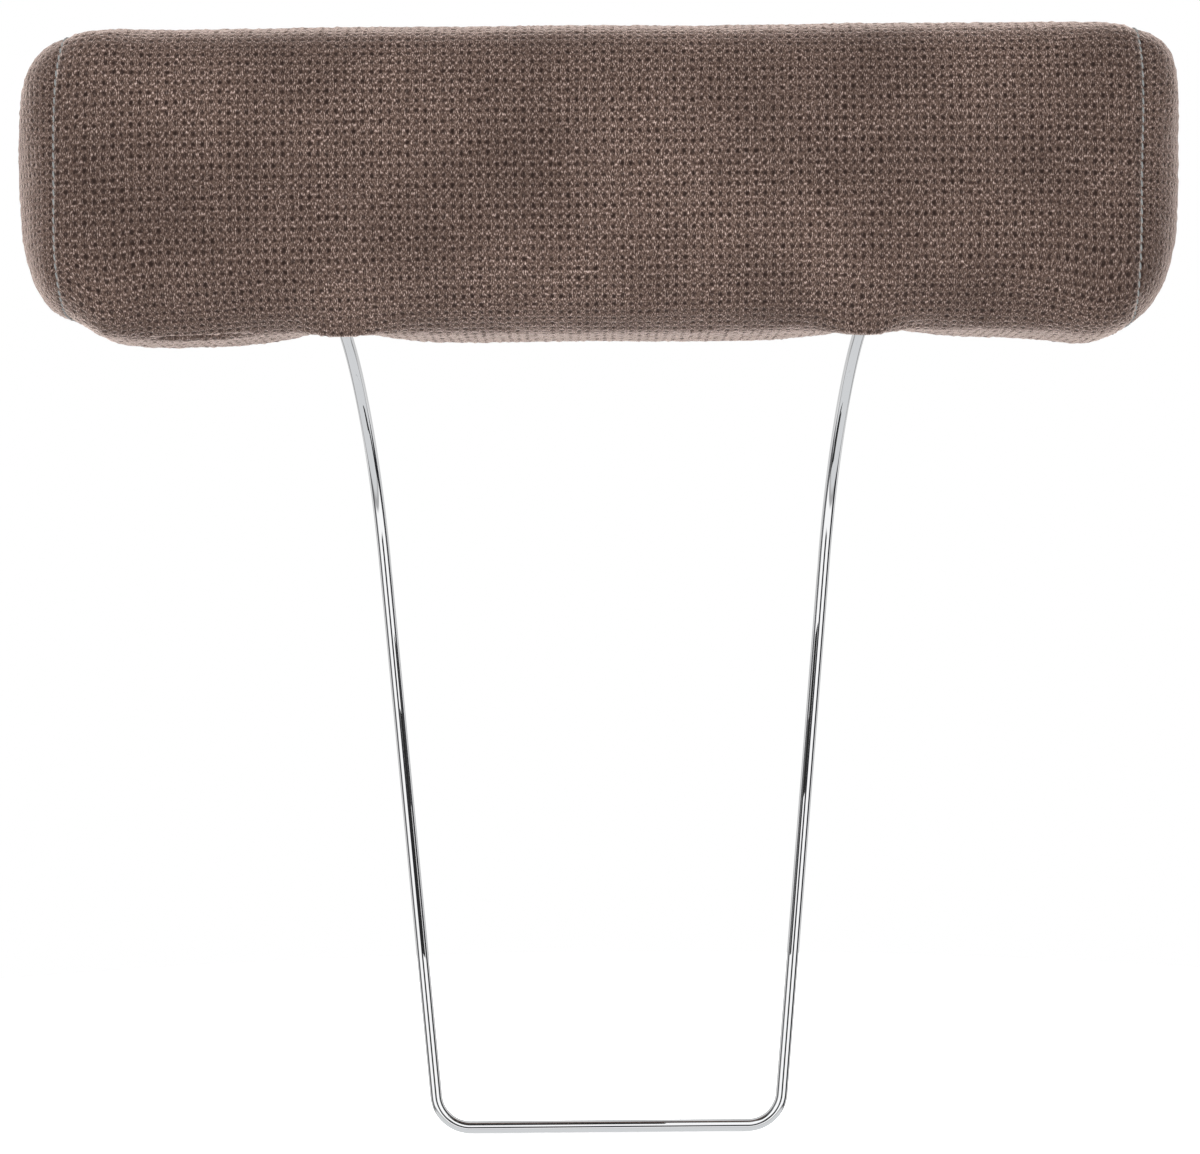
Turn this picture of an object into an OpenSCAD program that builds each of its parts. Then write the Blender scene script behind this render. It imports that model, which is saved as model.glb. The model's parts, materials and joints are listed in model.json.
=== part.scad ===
// Headrest for a sofa or armchair: a long upholstered cushion that tilts on a chrome wire bow.
// The bow slides down behind a back cushion. Millimetres, +Z up, the front faces -Y.
// The origin is the middle of the bow's bottom bar, on its centreline.

/* [Bow] */
// Diameter of the round rod
rod_d = 6; // [4:0.5:8]
// Spacing of the legs where their centrelines meet the bottom bar
bar_w = 168; // [140:1:200]
// Splay of each leg away from upright, in degrees
splay = 5; // [2:0.5:8]
// Centreline radius of the two bottom corners
corner_r = 17; // [12:1:28]
// Length of a leg from the bottom bar to the start of the forward bend
leg_l = 280; // [200:1:340]
// Centreline radius of the forward bend
bend_r = 120; // [100:1:140]
// Angle of the forward bend, in degrees
bend_angle = 62; // [52:1:66]
// Straight rod between the forward bend and the crank
lean_l = 2; // [1:0.5:6]
// Centreline radius of the crank that turns the rod upright inside the cushion
crank_r = 30; // [24:1:36]
// Straight upright neck above the crank
neck_l = 8; // [6:0.5:12]
// Centreline radius of the bend from the neck to the hinge pin
turn_r = 12; // [10:0.5:16]
// Length of the straight hinge pin at each end of the rod
pin_l = 60; // [56:1:70]

/* [Cushion] */
// Width of the cushion over its end panels
cushion_w = 550; // [500:1:640]
// Height of the cushion
cushion_h = 150; // [140:1:170]
// Depth of the cushion from front to back
cushion_d = 126; // [118:1:150]
// Distance from the hinge axis back to the cushion's back
hinge_setback = 84; // [78:1:90]
// Height of the hinge axis above the cushion's underside
hinge_rise = 47; // [44:0.5:52]
// Squareness of the section's front half
front_power = 3.2; // [3:0.1:5]
// Squareness of the section's back half in depth
back_power = 6; // [5:0.1:8]
// Squareness of the section's back half in height
heel_power = 4; // [4:0.1:5]
// Depth by which the crown of the back is pressed flat
back_press = 4; // [3.5:0.1:6]
// Length over which each end rounds off
end_run = 46; // [36:1:60]
// Squareness of the rounded ends seen from above
end_power = 3.3; // [2.5:0.1:4]
// Squareness of the ends' upper corners seen from the front
top_power = 6.5; // [5:0.1:8]
// Squareness of the ends' lower corners seen from the front
under_power = 2.5; // [2.2:0.1:3.2]
// Distance of each end seam from the tip of its end panel
seam_in = 26; // [20:0.5:32]
// Depth by which the seam draws the cover in
seam_draw = 1; // [0.5:0.1:2]
// Height by which the rod draws the underside up at each slit
slit_draw = 3; // [1:0.5:5]
// Half length of the drawn-up stretch at each slit
slit_draw_run = 34; // [24:1:44]

/* [Layers] */
// Thickness of the cover fabric
cover_t = 1.5; // [1:0.1:2.5]
// Thickness of the turned-in edges of the end panels
seam_t = 1.2; // [0.8:0.1:2]
// Width of the turned-in edges of the end panels
seam_w = 8; // [5:0.5:12]
// Thickness of the slit facings
facing_t = 1; // [0.6:0.1:1.2]
// Margin of the facing round its slit
facing_margin = 9; // [6:0.5:14]
// Thickness of the wadding
wadding_t = 8; // [5:0.5:12]
// Clearance between neighbouring layers
layer_gap = 0.3; // [0.2:0.05:0.5]
// Clearance of the foam round the hard pieces inside it
foam_gap = 1.5; // [1:0.1:3]
// Side clearance of the cover's slits round the rod
slit_gap = 2.5; // [2:0.1:4]
// Side clearance of the slots in the filling round the rod
slot_gap = 4; // [3.5:0.1:6]

/* [Core] */
// Distance from each end of the cushion to the core board
board_margin = 55; // [50:1:65]
// Height of the core board
board_h = 86; // [75:1:92]
// Thickness of the core board
board_t = 12; // [9:0.5:15]
// Corner radius of the core board
board_r = 14; // [6:1:24]
// Drop of the board's lower edge below the hinge axis
board_drop = 8; // [5:0.5:10]

/* [Hinge] */
// Forward tilt of the cushion, in degrees
tilt_max = 20; // [10:1:22]
// Outer radius of the saddle's barrel
barrel_r = 8; // [7.5:0.1:9]
// Length of the saddle's barrel
barrel_l = 40; // [34:1:42]
// Distance from the neck bend to the barrel
barrel_gap = 6; // [4:0.5:7]
// Distance from the hinge axis to the front face of the board
axis_to_board = 10; // [9.5:0.1:11]
// Thickness of the saddle's plate
plate_t = 4; // [3:0.1:5]
// Height of the saddle's plate above the hinge axis
plate_rise = 42; // [36:1:48]
// Gap between the rod's neck and its backward stop
stop_gap = 0.3; // [0.2:0.05:0.6]
// Wall of the friction bush
bush_wall = 1.95; // [1.5:0.05:2.4]
// Width of the bush flange beyond the bush
bush_lip = 0.8; // [0.5:0.1:0.9]
// Thickness of the bush flange
bush_flange_t = 1.5; // [1:0.1:2.5]
// Radial running clearance of the rod in the bush
run_gap = 0.05; // [0.02:0.01:0.1]
// Radial clearance of pressed pieces in their seats
seat_gap = 0.05; // [0.02:0.01:0.1]
// Wall of the rod caps
cap_wall = 1.5; // [1:0.1:2.5]
// Length of the rod caps
cap_l = 10; // [8:0.5:12]
// Depth of rod inside each cap
cap_seat = 8; // [5:0.5:9]

/* [Fasteners] */
// Thread diameter of the saddle screws
screw_d = 4; // [3:0.5:5]
// Head radius of the saddle screws
head_r = 3.8; // [3.4:0.1:5]
// Head height of the saddle screws
head_h = 2.4; // [2:0.1:3]
// Key size across the corners of the screws' sockets
key_d = 2.9; // [2:0.1:3.2]
// Depth of the screws' sockets
key_depth = 1.4; // [0.8:0.1:1.6]
// Spacing of the two screws of each saddle
screw_pitch = 24; // [18:1:26]
// Height of the screws above the hinge axis
screw_rise = 28; // [20:1:32]
// Radial clearance of the screws in their holes
screw_gap = 0.2; // [0.1:0.05:0.4]
// Wall of the tee nuts' barrels
nut_wall = 1; // [0.7:0.1:1.5]
// Length of the tee nuts' barrels in the board
nut_l = 8; // [5:0.5:8.5]
// Radius of the tee nuts' flanges
nut_flange_r = 8; // [6:0.5:9]
// Thickness of the tee nuts' flanges
nut_flange_t = 1.2; // [0.8:0.1:2]

/* [Zip] */
// Distance from each end of the cushion to the end of the zip
zip_margin = 60; // [52:1:90]
// Height of the zip above the cushion's underside
zip_rise = 38; // [36:0.5:50]
// Width of the zip's closed chain
chain_w = 5; // [4:0.1:6]
// Thickness of the zip's chain
chain_t = 2; // [1.6:0.1:2.4]
// Width of each zip tape
tape_w = 13; // [10:0.5:16]
// Thickness of the zip tapes
tape_t = 0.6; // [0.4:0.05:0.8]
// Half of the gap between the two tapes
tape_gap = 0.4; // [0.2:0.1:0.8]
// Length of each zip stop
zip_stop_l = 3; // [2:0.5:5]
// Height of each zip stop above the tape
zip_stop_t = 2.4; // [2:0.1:3]
// Length of the zip slider
slider_l = 10; // [8:0.5:14]
// Thickness of the slider's plate
slider_t = 1.5; // [1:0.1:2]
// Thickness of the slider's two side flanges
slider_flange = 1; // [0.8:0.1:1.4]
// Running clearance of the slider
slider_gap = 0.3; // [0.2:0.05:0.5]
// Radius of the slider's pin that carries the pull
pull_pin_r = 0.7; // [0.5:0.05:0.9]
// Radial running clearance of the pull on its pin
pull_gap = 0.08; // [0.04:0.01:0.1]
// Wall of the pull's eye
eye_wall = 0.8; // [0.6:0.1:1]
// Width of the pull's eye
eye_w = 3.2; // [2.4:0.1:4]
// Thickness of the two posts that hold the pin
post_t = 1.2; // [0.8:0.1:1.6]
// Width of the pull's tab
tab_w = 8; // [6:0.5:10]
// Length of the pull from its pin
tab_l = 26; // [18:1:30]
// Thickness of the pull's tab
tab_t = 1.3; // [1:0.1:1.5]

/* [Hidden] */
$fn = 48;

// Cut overlap for clean differences, and a size that is surely larger than the part
eps = 1;
far = 4 * cushion_w;
rod_r = rod_d / 2;

// Length and height of the collars that join the rod's bends to its straights
joint_lap = 0.6;
joint_rise = 0.02;

// Directions of the rod's straight stretches, right half, and the angle between two of them
leg_dir = [sin(splay), 0, cos(splay)];
lean_dir = [sin(splay), -cos(splay) * sin(bend_angle), cos(splay) * cos(bend_angle)];
up_dir = [0, 0, 1];
out_dir = [1, 0, 0];
function turn_angle(a, b) = acos(a * b);
function fillet_run(a, b, r) = r * tan(turn_angle(a, b) / 2);

// Corners of the rod's right half, and the hinge axis that its turned-out end gives
bend_run = fillet_run(leg_dir, lean_dir, bend_r);
crank_run = fillet_run(lean_dir, up_dir, crank_r);
bar_corner = [bar_w / 2, 0, 0];
bend_corner = bar_corner + leg_dir * (leg_l + bend_run);
crank_corner = bend_corner + lean_dir * (bend_run + lean_l + crank_run);
neck_corner = crank_corner + up_dir * (crank_run + neck_l + turn_r);
neck_x = neck_corner[0];
hinge_y = neck_corner[1];
hinge_z = neck_corner[2];
pin_start_x = neck_x + turn_r;
pin_end_x = pin_start_x + pin_l;
slit_x = crank_corner[0] - lean_dir[0] * crank_run;

// The cushion's place on the hinge
back_y = hinge_y + hinge_setback;
mid_y = back_y - cushion_d / 2;
under_z = hinge_z - hinge_rise;
mid_z = under_z + cushion_h / 2;
seam_x = cushion_w / 2 - seam_in;

// Depths of the layers below the cover's outside
facing_in = cover_t + layer_gap;
wadding_in = facing_in + max(seam_t, facing_t) + layer_gap;
foam_in = wadding_in + wadding_t + layer_gap;
wadding_reach = seam_x - seam_w - layer_gap;

// Core and hinge places
board_w = cushion_w - 2 * board_margin;
board_front = hinge_y + axis_to_board;
board_back = board_front + board_t;
board_low = hinge_z - board_drop;
barrel_x = pin_start_x + barrel_gap;
barrel_end = barrel_x + barrel_l;
plate_front = board_front - plate_t;
bush_r = rod_r + run_gap + bush_wall;
bush_flange_r = bush_r + bush_lip;
screw_r = screw_d / 2;
nut_r = screw_r + screw_gap + nut_wall;
cap_r = rod_r + seat_gap + cap_wall;
cap_end_x = pin_end_x + cap_l - cap_seat;

// Zip places, with the zip's length between the outer faces of its stops
zip_l = cushion_w - 2 * zip_margin;
zip_z = under_z + zip_rise;
tape_out = back_y - cover_t - layer_gap;
chain_out = tape_out + chain_t;
plate_in = chain_out + slider_gap;
plate_out = plate_in + slider_t;
eye_r = pull_pin_r + pull_gap + eye_wall;
pull_y = plate_out + eye_r + slider_gap;
slider_x = zip_l / 2 - zip_stop_l - slider_l / 2 - slider_gap;
slider_half_w = chain_w / 2 + slider_gap + slider_flange;
zip_slot_w = 2 * (slider_half_w + slider_gap);

// Cushion section: points round one ring, and rings along the cushion
ring_points = 24;
function sign_power(v, p) = sign(v) * pow(abs(v), 2 / p);
function end_ratio(d, power) = d >= end_run ? 1 : pow(1 - pow(1 - max(d, 0) / end_run, 2), 1 / power);
function seam_dip(x) = seam_draw * exp(-pow((abs(x) - seam_x) / seam_in * 4, 2));
function slit_rise(x) = slit_draw * exp(-pow((abs(x) - slit_x) / slit_draw_run * 2, 2));
function back_reach(half, c) = min(half, (half + back_press) * sign_power(c, back_power));
function ring(x, inset, end_inset) =
  let (
    d = cushion_w / 2 - end_inset - abs(x),
    half_d = (cushion_d / 2 - inset - seam_dip(x)) * end_ratio(d, end_power),
    full_h = cushion_h / 2 - inset - seam_dip(x)
  )
  [
    for (k = [0 : ring_points - 1])
      let (
        c = cos(360 * k / ring_points),
        s = sin(360 * k / ring_points),
        y = c > 0 ? back_reach(half_d, c) : half_d * sign_power(c, front_power),
        half_h = full_h * end_ratio(d, s > 0 ? top_power : under_power),
        z = half_h * sign_power(s, c > 0 ? heel_power : front_power)
      )
      [x, mid_y + y, mid_z + z + (s < 0 ? -s * slit_rise(x) : 0)]
  ];

// Places of the rings: closer together at the slits and towards the ends
half_rings = [
  0.4 * slit_x, slit_x - slit_draw_run, slit_x - slit_draw_run / 3, slit_x + slit_draw_run / 3,
  slit_x + slit_draw_run
];
function end_rings(reach) = [for (f = [1.6, 1, 0.55, 0.25]) max(reach - f * (end_run - seam_in), slit_x + 1.2 * slit_draw_run)];
function mirrored(list) = concat([for (i = [len(list) - 1 : -1 : 0]) -list[i]], [0], list);
function reversed(list) = [for (i = [len(list) - 1 : -1 : 0]) list[i]];
function sleeve_rings(reach) = mirrored(concat(half_rings, end_rings(reach), [reach]));

// A closed skin over rings of points, capped at both ends or closed into a loop
module skin(rings, loop = false) {
  n = ring_points;
  m = len(rings);
  function middle(r) = [r[0][0], mid_y, (r[0][2] + r[n / 2][2]) / 2];
  sides = [
    for (j = [0 : loop ? m - 1 : m - 2], k = [0 : n - 1], half = [0, 1])
      let (
        a = j * n + k,
        b = ((j + 1) % m) * n + k,
        c = ((j + 1) % m) * n + (k + 1) % n,
        d = j * n + (k + 1) % n
      )
      half == 0 ? [a, b, c] : [a, c, d]
  ];
  caps = loop ? [] : [
    for (k = [0 : n - 1], tip = [0, 1])
      let (next = (k + 1) % n, last = (m - 1) * n)
      tip == 0 ? [m * n, k, next] : [m * n + 1, last + next, last + k]
  ];
  points = concat([for (r = rings) each r], loop ? [] : [middle(rings[0]), middle(rings[m - 1])]);
  polyhedron(points = points, faces = concat(sides, caps));
}

// A tube of fabric between two depths, open at both ends
module layer_tube(reach, outer, inner) {
  xs = sleeve_rings(reach);
  skin(concat([for (x = xs) ring(x, outer, outer)], [for (x = reversed(xs)) ring(x, inner, outer)]), true);
}

// A box given by two opposite corners
module box(low, high) {
  translate(low) cube(high - low);
}

// A cylinder along X, Y or Z from one point on its axis
module rod_x(at, r, l) {
  translate(at) rotate([0, 90, 0]) cylinder(r = r, h = l);
}
module rod_y(at, r, l) {
  translate(at) rotate([-90, 0, 0]) cylinder(r = r, h = l);
}
module rod_z(at, r, l) {
  translate(at) cylinder(r = r, h = l, center = true);
}

// A cylinder along any direction, from one point on its axis
module rod_along(at, dir, r, l) {
  translate(at) rotate([0, acos(dir[2]), atan2(dir[1], dir[0])]) cylinder(r = r, h = l);
}

// Straight rod between two bends, with a hair-thin collar over each joint that makes one solid of them
module rod_run(a, b) {
  l = norm(b - a);
  dir = (b - a) / l;
  rod_along(a + dir * joint_lap / 4, dir, rod_r, l - joint_lap / 2);
  for (p = [a, b]) rod_along(p - dir * joint_lap / 2, dir, rod_r + joint_rise, joint_lap);
}

// Bent rod at a corner, from one direction into another
module rod_bend(corner, from, to, r) {
  angle = turn_angle(from, to);
  inward = (to - from * cos(angle)) / sin(angle);
  start = corner - from * r * tan(angle / 2);
  centre = start + inward * r;
  side = cross(-inward, from);
  multmatrix([
    [-inward[0], from[0], side[0], centre[0]],
    [-inward[1], from[1], side[1], centre[1]],
    [-inward[2], from[2], side[2], centre[2]],
    [0, 0, 0, 1]
  ])
    rotate_extrude(angle = angle) translate([r, 0]) circle(d = rod_d);
}

// Right half of the bow, from the end of the bottom bar to the end of its hinge pin
module half_bow() {
  bar_run = fillet_run(out_dir, leg_dir, corner_r);
  rod_bend(bar_corner, out_dir, leg_dir, corner_r);
  rod_run(bar_corner + leg_dir * bar_run, bend_corner - leg_dir * bend_run);
  rod_bend(bend_corner, leg_dir, lean_dir, bend_r);
  rod_run(bend_corner + lean_dir * bend_run, crank_corner - lean_dir * crank_run);
  rod_bend(crank_corner, lean_dir, up_dir, crank_r);
  rod_run(crank_corner + up_dir * crank_run, neck_corner - up_dir * turn_r);
  rod_bend(neck_corner, up_dir, out_dir, turn_r);
  rod_along(neck_corner + out_dir * (turn_r + joint_lap / 4), out_dir, rod_r, pin_l - joint_lap / 4);
  rod_along(neck_corner + out_dir * (turn_r - joint_lap / 2), out_dir, rod_r + joint_rise, joint_lap);
}

module wire_bow() {
  bar_end = bar_corner - out_dir * fillet_run(out_dir, leg_dir, corner_r);
  color("silver") {
    rod_run(-bar_end, bar_end);
    half_bow();
    mirror([1, 0, 0]) half_bow();
  }
}

module rod_cap() {
  color("dimgray") difference() {
    rod_x([pin_end_x - cap_seat, hinge_y, hinge_z], cap_r, cap_l);
    rod_x([pin_end_x - cap_seat - eps, hinge_y, hinge_z], rod_r + seat_gap, cap_seat + eps + seat_gap);
  }
}

// Places of the two screws of the right saddle
function screw_places() =
  [for (s = [-1, 1]) [barrel_x + barrel_l / 2 + s * screw_pitch / 2, hinge_z + screw_rise]];

module core_board() {
  color("burlywood") difference() {
    translate([0, board_back, board_low]) rotate([90, 0, 0]) linear_extrude(board_t) union() {
      translate([-board_w / 2, board_r]) square([board_w, board_h - 2 * board_r]);
      translate([-board_w / 2 + board_r, 0]) square([board_w - 2 * board_r, board_h]);
      for (sx = [-1, 1], z = [board_r, board_h - board_r]) translate([sx * (board_w / 2 - board_r), z]) circle(r = board_r);
    }
    for (p = screw_places(), sx = [-1, 1]) {
      rod_y([sx * p[0], board_front - eps, p[1]], screw_r + screw_gap, board_t + 2 * eps);
      rod_y([sx * p[0], board_back - nut_l - seat_gap, p[1]], nut_r + seat_gap, nut_l + eps);
    }
  }
}

module saddle() {
  stop_low = hinge_z - turn_r - neck_l;
  color("gray") difference() {
    union() {
      rod_x([barrel_x, hinge_y, hinge_z], barrel_r, barrel_l);
      box([barrel_x, plate_front, hinge_z], [barrel_end, board_front, hinge_z + plate_rise]);
      box([neck_x - rod_d, plate_front, stop_low], [barrel_end, board_front, hinge_z]);
      box([neck_x - rod_d, hinge_y + rod_r + stop_gap, stop_low], [neck_x + rod_d, board_front, stop_low + neck_l]);
    }
    rod_x([barrel_x - eps, hinge_y, hinge_z], bush_r + seat_gap, barrel_l + 2 * eps);
    for (p = screw_places()) rod_y([p[0], plate_front - eps, p[1]], screw_r + screw_gap, plate_t + 2 * eps);
  }
}

module bush() {
  color("ivory") difference() {
    union() {
      rod_x([barrel_x - bush_flange_t, hinge_y, hinge_z], bush_flange_r, bush_flange_t);
      rod_x([barrel_x - bush_flange_t, hinge_y, hinge_z], bush_r, bush_flange_t + barrel_l);
    }
    rod_x([barrel_x - bush_flange_t - eps, hinge_y, hinge_z], rod_r + run_gap, bush_flange_t + barrel_l + 2 * eps);
  }
}

module saddle_screws() {
  color("lightgray") for (p = screw_places(), sx = [-1, 1]) difference() {
    union() {
      rod_y([sx * p[0], plate_front - head_h, p[1]], head_r, head_h);
      rod_y([sx * p[0], plate_front - head_h, p[1]], screw_r, head_h + plate_t + board_t);
    }
    translate([sx * p[0], plate_front - head_h - eps, p[1]])
      rotate([-90, 0, 0]) cylinder(d = key_d, h = key_depth + eps, $fn = 6);
  }
}

module tee_nuts() {
  color("darkgray") for (p = screw_places(), sx = [-1, 1]) difference() {
    union() {
      rod_y([sx * p[0], board_back - nut_l, p[1]], nut_r, nut_l + nut_flange_t);
      rod_y([sx * p[0], board_back, p[1]], nut_flange_r, nut_flange_t);
    }
    rod_y([sx * p[0], board_back - nut_l - eps, p[1]], screw_r + screw_gap / 2, nut_l + nut_flange_t + 2 * eps);
  }
}

// The room that the rod sweeps in the cushion while the cushion tilts, seen along X.
// Each step is a point of the rod's centreline below the hinge, with its slant away from upright.
slant_step = 6;
crank_top = -turn_r - neck_l;
crank_end = [crank_r * (1 - cos(bend_angle)), crank_top - crank_r * sin(bend_angle)];
lean_end = crank_end + lean_l * [sin(bend_angle), -cos(bend_angle)];
function bend_point(a) = lean_end + bend_r * [cos(a) - cos(bend_angle), sin(a) - sin(bend_angle)];
rod_steps = concat(
  [[0, turn_r + rod_d, 0], [0, crank_top, 0]],
  [for (a = [slant_step : slant_step : bend_angle]) [crank_r * (1 - cos(a)), crank_top - crank_r * sin(a), a]],
  [for (a = [bend_angle - slant_step, bend_angle - 2 * slant_step, bend_angle - 4 * slant_step])
    [bend_point(a)[0], bend_point(a)[1], a]]
);
function turned(p, a) = [p[0] * cos(a) + p[1] * sin(a), p[1] * cos(a) - p[0] * sin(a)];
function beside(s, d) = [s[0] + d * cos(s[2]), s[1] + d * sin(s[2])];
module rod_room(gap) {
  wide = rod_r + gap;
  before = [for (s = rod_steps) turned(beside(s, -wide), tilt_max)];
  behind = [for (s = reversed(rod_steps)) beside(s, wide)];
  translate([(neck_x + slit_x) / 2 - wide, hinge_y, hinge_z])
    rotate([90, 0, 90]) linear_extrude(2 * wide) polygon(concat(before, behind));
}
module rod_rooms(gap) {
  rod_room(gap);
  mirror([1, 0, 0]) rod_room(gap);
}

// Foam block before it is cut round the board, the hinges and the rod
module foam_block() {
  reach = cushion_w / 2 - wadding_in;
  tips = [for (f = [0.6, 0.25, 0.05]) reach - f * seam_in];
  xs = concat(half_rings, end_rings(wadding_reach), [wadding_reach], tips);
  skin([for (x = mirrored(xs)) ring(x, foam_in, wadding_in)]);
}

module front_foam() {
  low = hinge_z - turn_r - neck_l - foam_gap;
  room_low = [neck_x - rod_d - foam_gap, hinge_y - barrel_r - foam_gap, low];
  room_high = [cap_end_x + foam_gap, board_front + eps, hinge_z + plate_rise + foam_gap];
  color("khaki") difference() {
    intersection() {
      foam_block();
      box([-far, -far, -far], [far, board_front - layer_gap, far]);
    }
    box(room_low, room_high);
    mirror([1, 0, 0]) box(room_low, room_high);
    rod_rooms(slot_gap);
  }
}

module rear_foam() {
  color("khaki") difference() {
    intersection() {
      foam_block();
      box([-far, board_front, -far], [far, far, far]);
    }
    box(
      [-board_w / 2 - layer_gap, board_front - eps, board_low - layer_gap],
      [board_w / 2 + layer_gap, board_back + layer_gap, board_low + board_h + layer_gap]
    );
    for (sx = [-1, 1]) translate([sx * (barrel_x + barrel_l / 2), 0, hinge_z + screw_rise])
      box(
        [-screw_pitch / 2 - nut_flange_r - foam_gap, board_back, -nut_flange_r - foam_gap],
        [screw_pitch / 2 + nut_flange_r + foam_gap, board_back + nut_flange_t + foam_gap, nut_flange_r + foam_gap]
      );
    rod_rooms(slot_gap);
  }
}

module wadding() {
  color("whitesmoke") difference() {
    layer_tube(wadding_reach, wadding_in, wadding_in + wadding_t);
    rod_rooms(slot_gap);
  }
}

module cover_sleeve() {
  color([0.41, 0.34, 0.31]) difference() {
    layer_tube(seam_x - layer_gap / 2, 0, cover_t);
    rod_rooms(slit_gap);
    box([-zip_l / 2, back_y - seam_in, zip_z - zip_slot_w / 2], [zip_l / 2, back_y + eps, zip_z + zip_slot_w / 2]);
  }
}

// Right end panel with its turned-in edge inside the sleeve
module end_panel() {
  dome = [for (f = [0, 0.3, 0.55, 0.75, 0.9, 0.98]) f];
  start = seam_x + layer_gap / 2;
  edge = seam_x - seam_w;
  deep = facing_in + seam_t;
  outside = [for (f = dome) ring(start + f * (cushion_w / 2 - start), 0, 0)];
  inside = [for (f = reversed(dome)) ring(start + f * (cushion_w / 2 - deep - start), deep, deep)];
  folded = [ring(edge, deep, deep), ring(edge, facing_in, facing_in), ring(start, facing_in, facing_in)];
  color([0.41, 0.34, 0.31]) difference() {
    skin(concat([folded[1], folded[2]], outside));
    skin(concat([ring(edge - eps, deep, deep)], [folded[0]], reversed(inside)));
  }
}

// Facing inside the cover, round the right slit
module slit_facing() {
  wide = rod_r + slit_gap + facing_margin;
  at = (neck_x + slit_x) / 2;
  exit_y = hinge_y + lean_end[0];
  color([0.36, 0.3, 0.27]) intersection() {
    difference() {
      layer_tube(wadding_reach, facing_in, facing_in + facing_t);
      rod_room(slit_gap);
    }
    box([at - wide, exit_y - 3 * wide, under_z - eps], [at + wide, exit_y + 2 * wide, under_z + hinge_rise / 2]);
  }
}

module zip_tape(side) {
  near = side > 0 ? tape_gap : -tape_w;
  color("saddlebrown") box(
    [-zip_l / 2 - zip_stop_l, tape_out - tape_t, zip_z + near],
    [zip_l / 2 + zip_stop_l, tape_out, zip_z + near + tape_w - tape_gap]
  );
}

module zip_coil() {
  reach = zip_l / 2 - zip_stop_l;
  color("sienna") box([-reach, tape_out, zip_z - chain_w / 2], [reach, chain_out, zip_z + chain_w / 2]);
}

module zip_stops() {
  color("silver") for (x = [-zip_l / 2, zip_l / 2 - zip_stop_l])
    box([x, tape_out, zip_z - chain_w / 2], [x + zip_stop_l, tape_out + zip_stop_t, zip_z + chain_w / 2]);
}

module zip_slider() {
  post_in = eye_w / 2 + slider_gap;
  color("silver") translate([slider_x, 0, zip_z]) {
    box([-slider_l / 2, plate_in, -slider_half_w], [slider_l / 2, plate_out, slider_half_w]);
    for (s = [-1, 1]) {
      z = s > 0 ? slider_half_w - slider_flange : -slider_half_w;
      box([-slider_l / 2, tape_out + slider_gap, z], [slider_l / 2, plate_in, z + slider_flange]);
      post = s > 0 ? post_in : -post_in - post_t;
      box([-eye_r, plate_out, post], [eye_r, pull_y + pull_pin_r, post + post_t]);
    }
    rod_z([0, pull_y, 0], pull_pin_r, 2 * post_in);
  }
}

module zip_pull() {
  shoulder = eye_r + slider_gap;
  color("silver") translate([slider_x, pull_y, zip_z]) difference() {
    union() {
      rod_z([0, 0, 0], eye_r, eye_w);
      box([-shoulder - eye_r, -tab_t / 2, -eye_w / 2], [0, tab_t / 2, eye_w / 2]);
      box([-tab_l + tab_w / 2, -tab_t / 2, -tab_w / 2], [-shoulder, tab_t / 2, tab_w / 2]);
      translate([-tab_l + tab_w / 2, -tab_t / 2, 0]) rotate([-90, 0, 0]) cylinder(d = tab_w, h = tab_t);
    }
    rod_z([0, 0, 0], pull_pin_r + pull_gap, eye_w + eps);
  }
}

module left_side() {
  mirror([1, 0, 0]) children();
}

wire_bow();
left_side() rod_cap();  // left_rod_cap
rod_cap();  // right_rod_cap
core_board();
left_side() saddle();  // left_saddle
saddle();  // right_saddle
left_side() bush();  // left_bush
bush();  // right_bush
saddle_screws();
tee_nuts();
front_foam();
rear_foam();
wadding();
cover_sleeve();
left_side() end_panel();  // left_end_panel
end_panel();  // right_end_panel
left_side() slit_facing();  // left_slit_facing
slit_facing();  // right_slit_facing
zip_tape(1);  // upper_zip_tape
zip_tape(-1);  // lower_zip_tape
zip_coil();
zip_stops();
zip_slider();
zip_pull();
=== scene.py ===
"""Looks of the plug-in headrest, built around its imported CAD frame.

Lengths are in metres, in the frame of the CAD model: +X to the right seen from the front,
+Y to the back and +Z up. The cushion is cut, sewn and puffed up here, the zip and the seams
are detailed, and the rigid CAD nodes get their finishes.
"""

import json
import logging
import math
from dataclasses import dataclass, field
from enum import Enum

import bmesh
import bpy
import numpy as np
from mathutils import Matrix, Vector, noise
from mathutils.bvhtree import BVHTree

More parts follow.
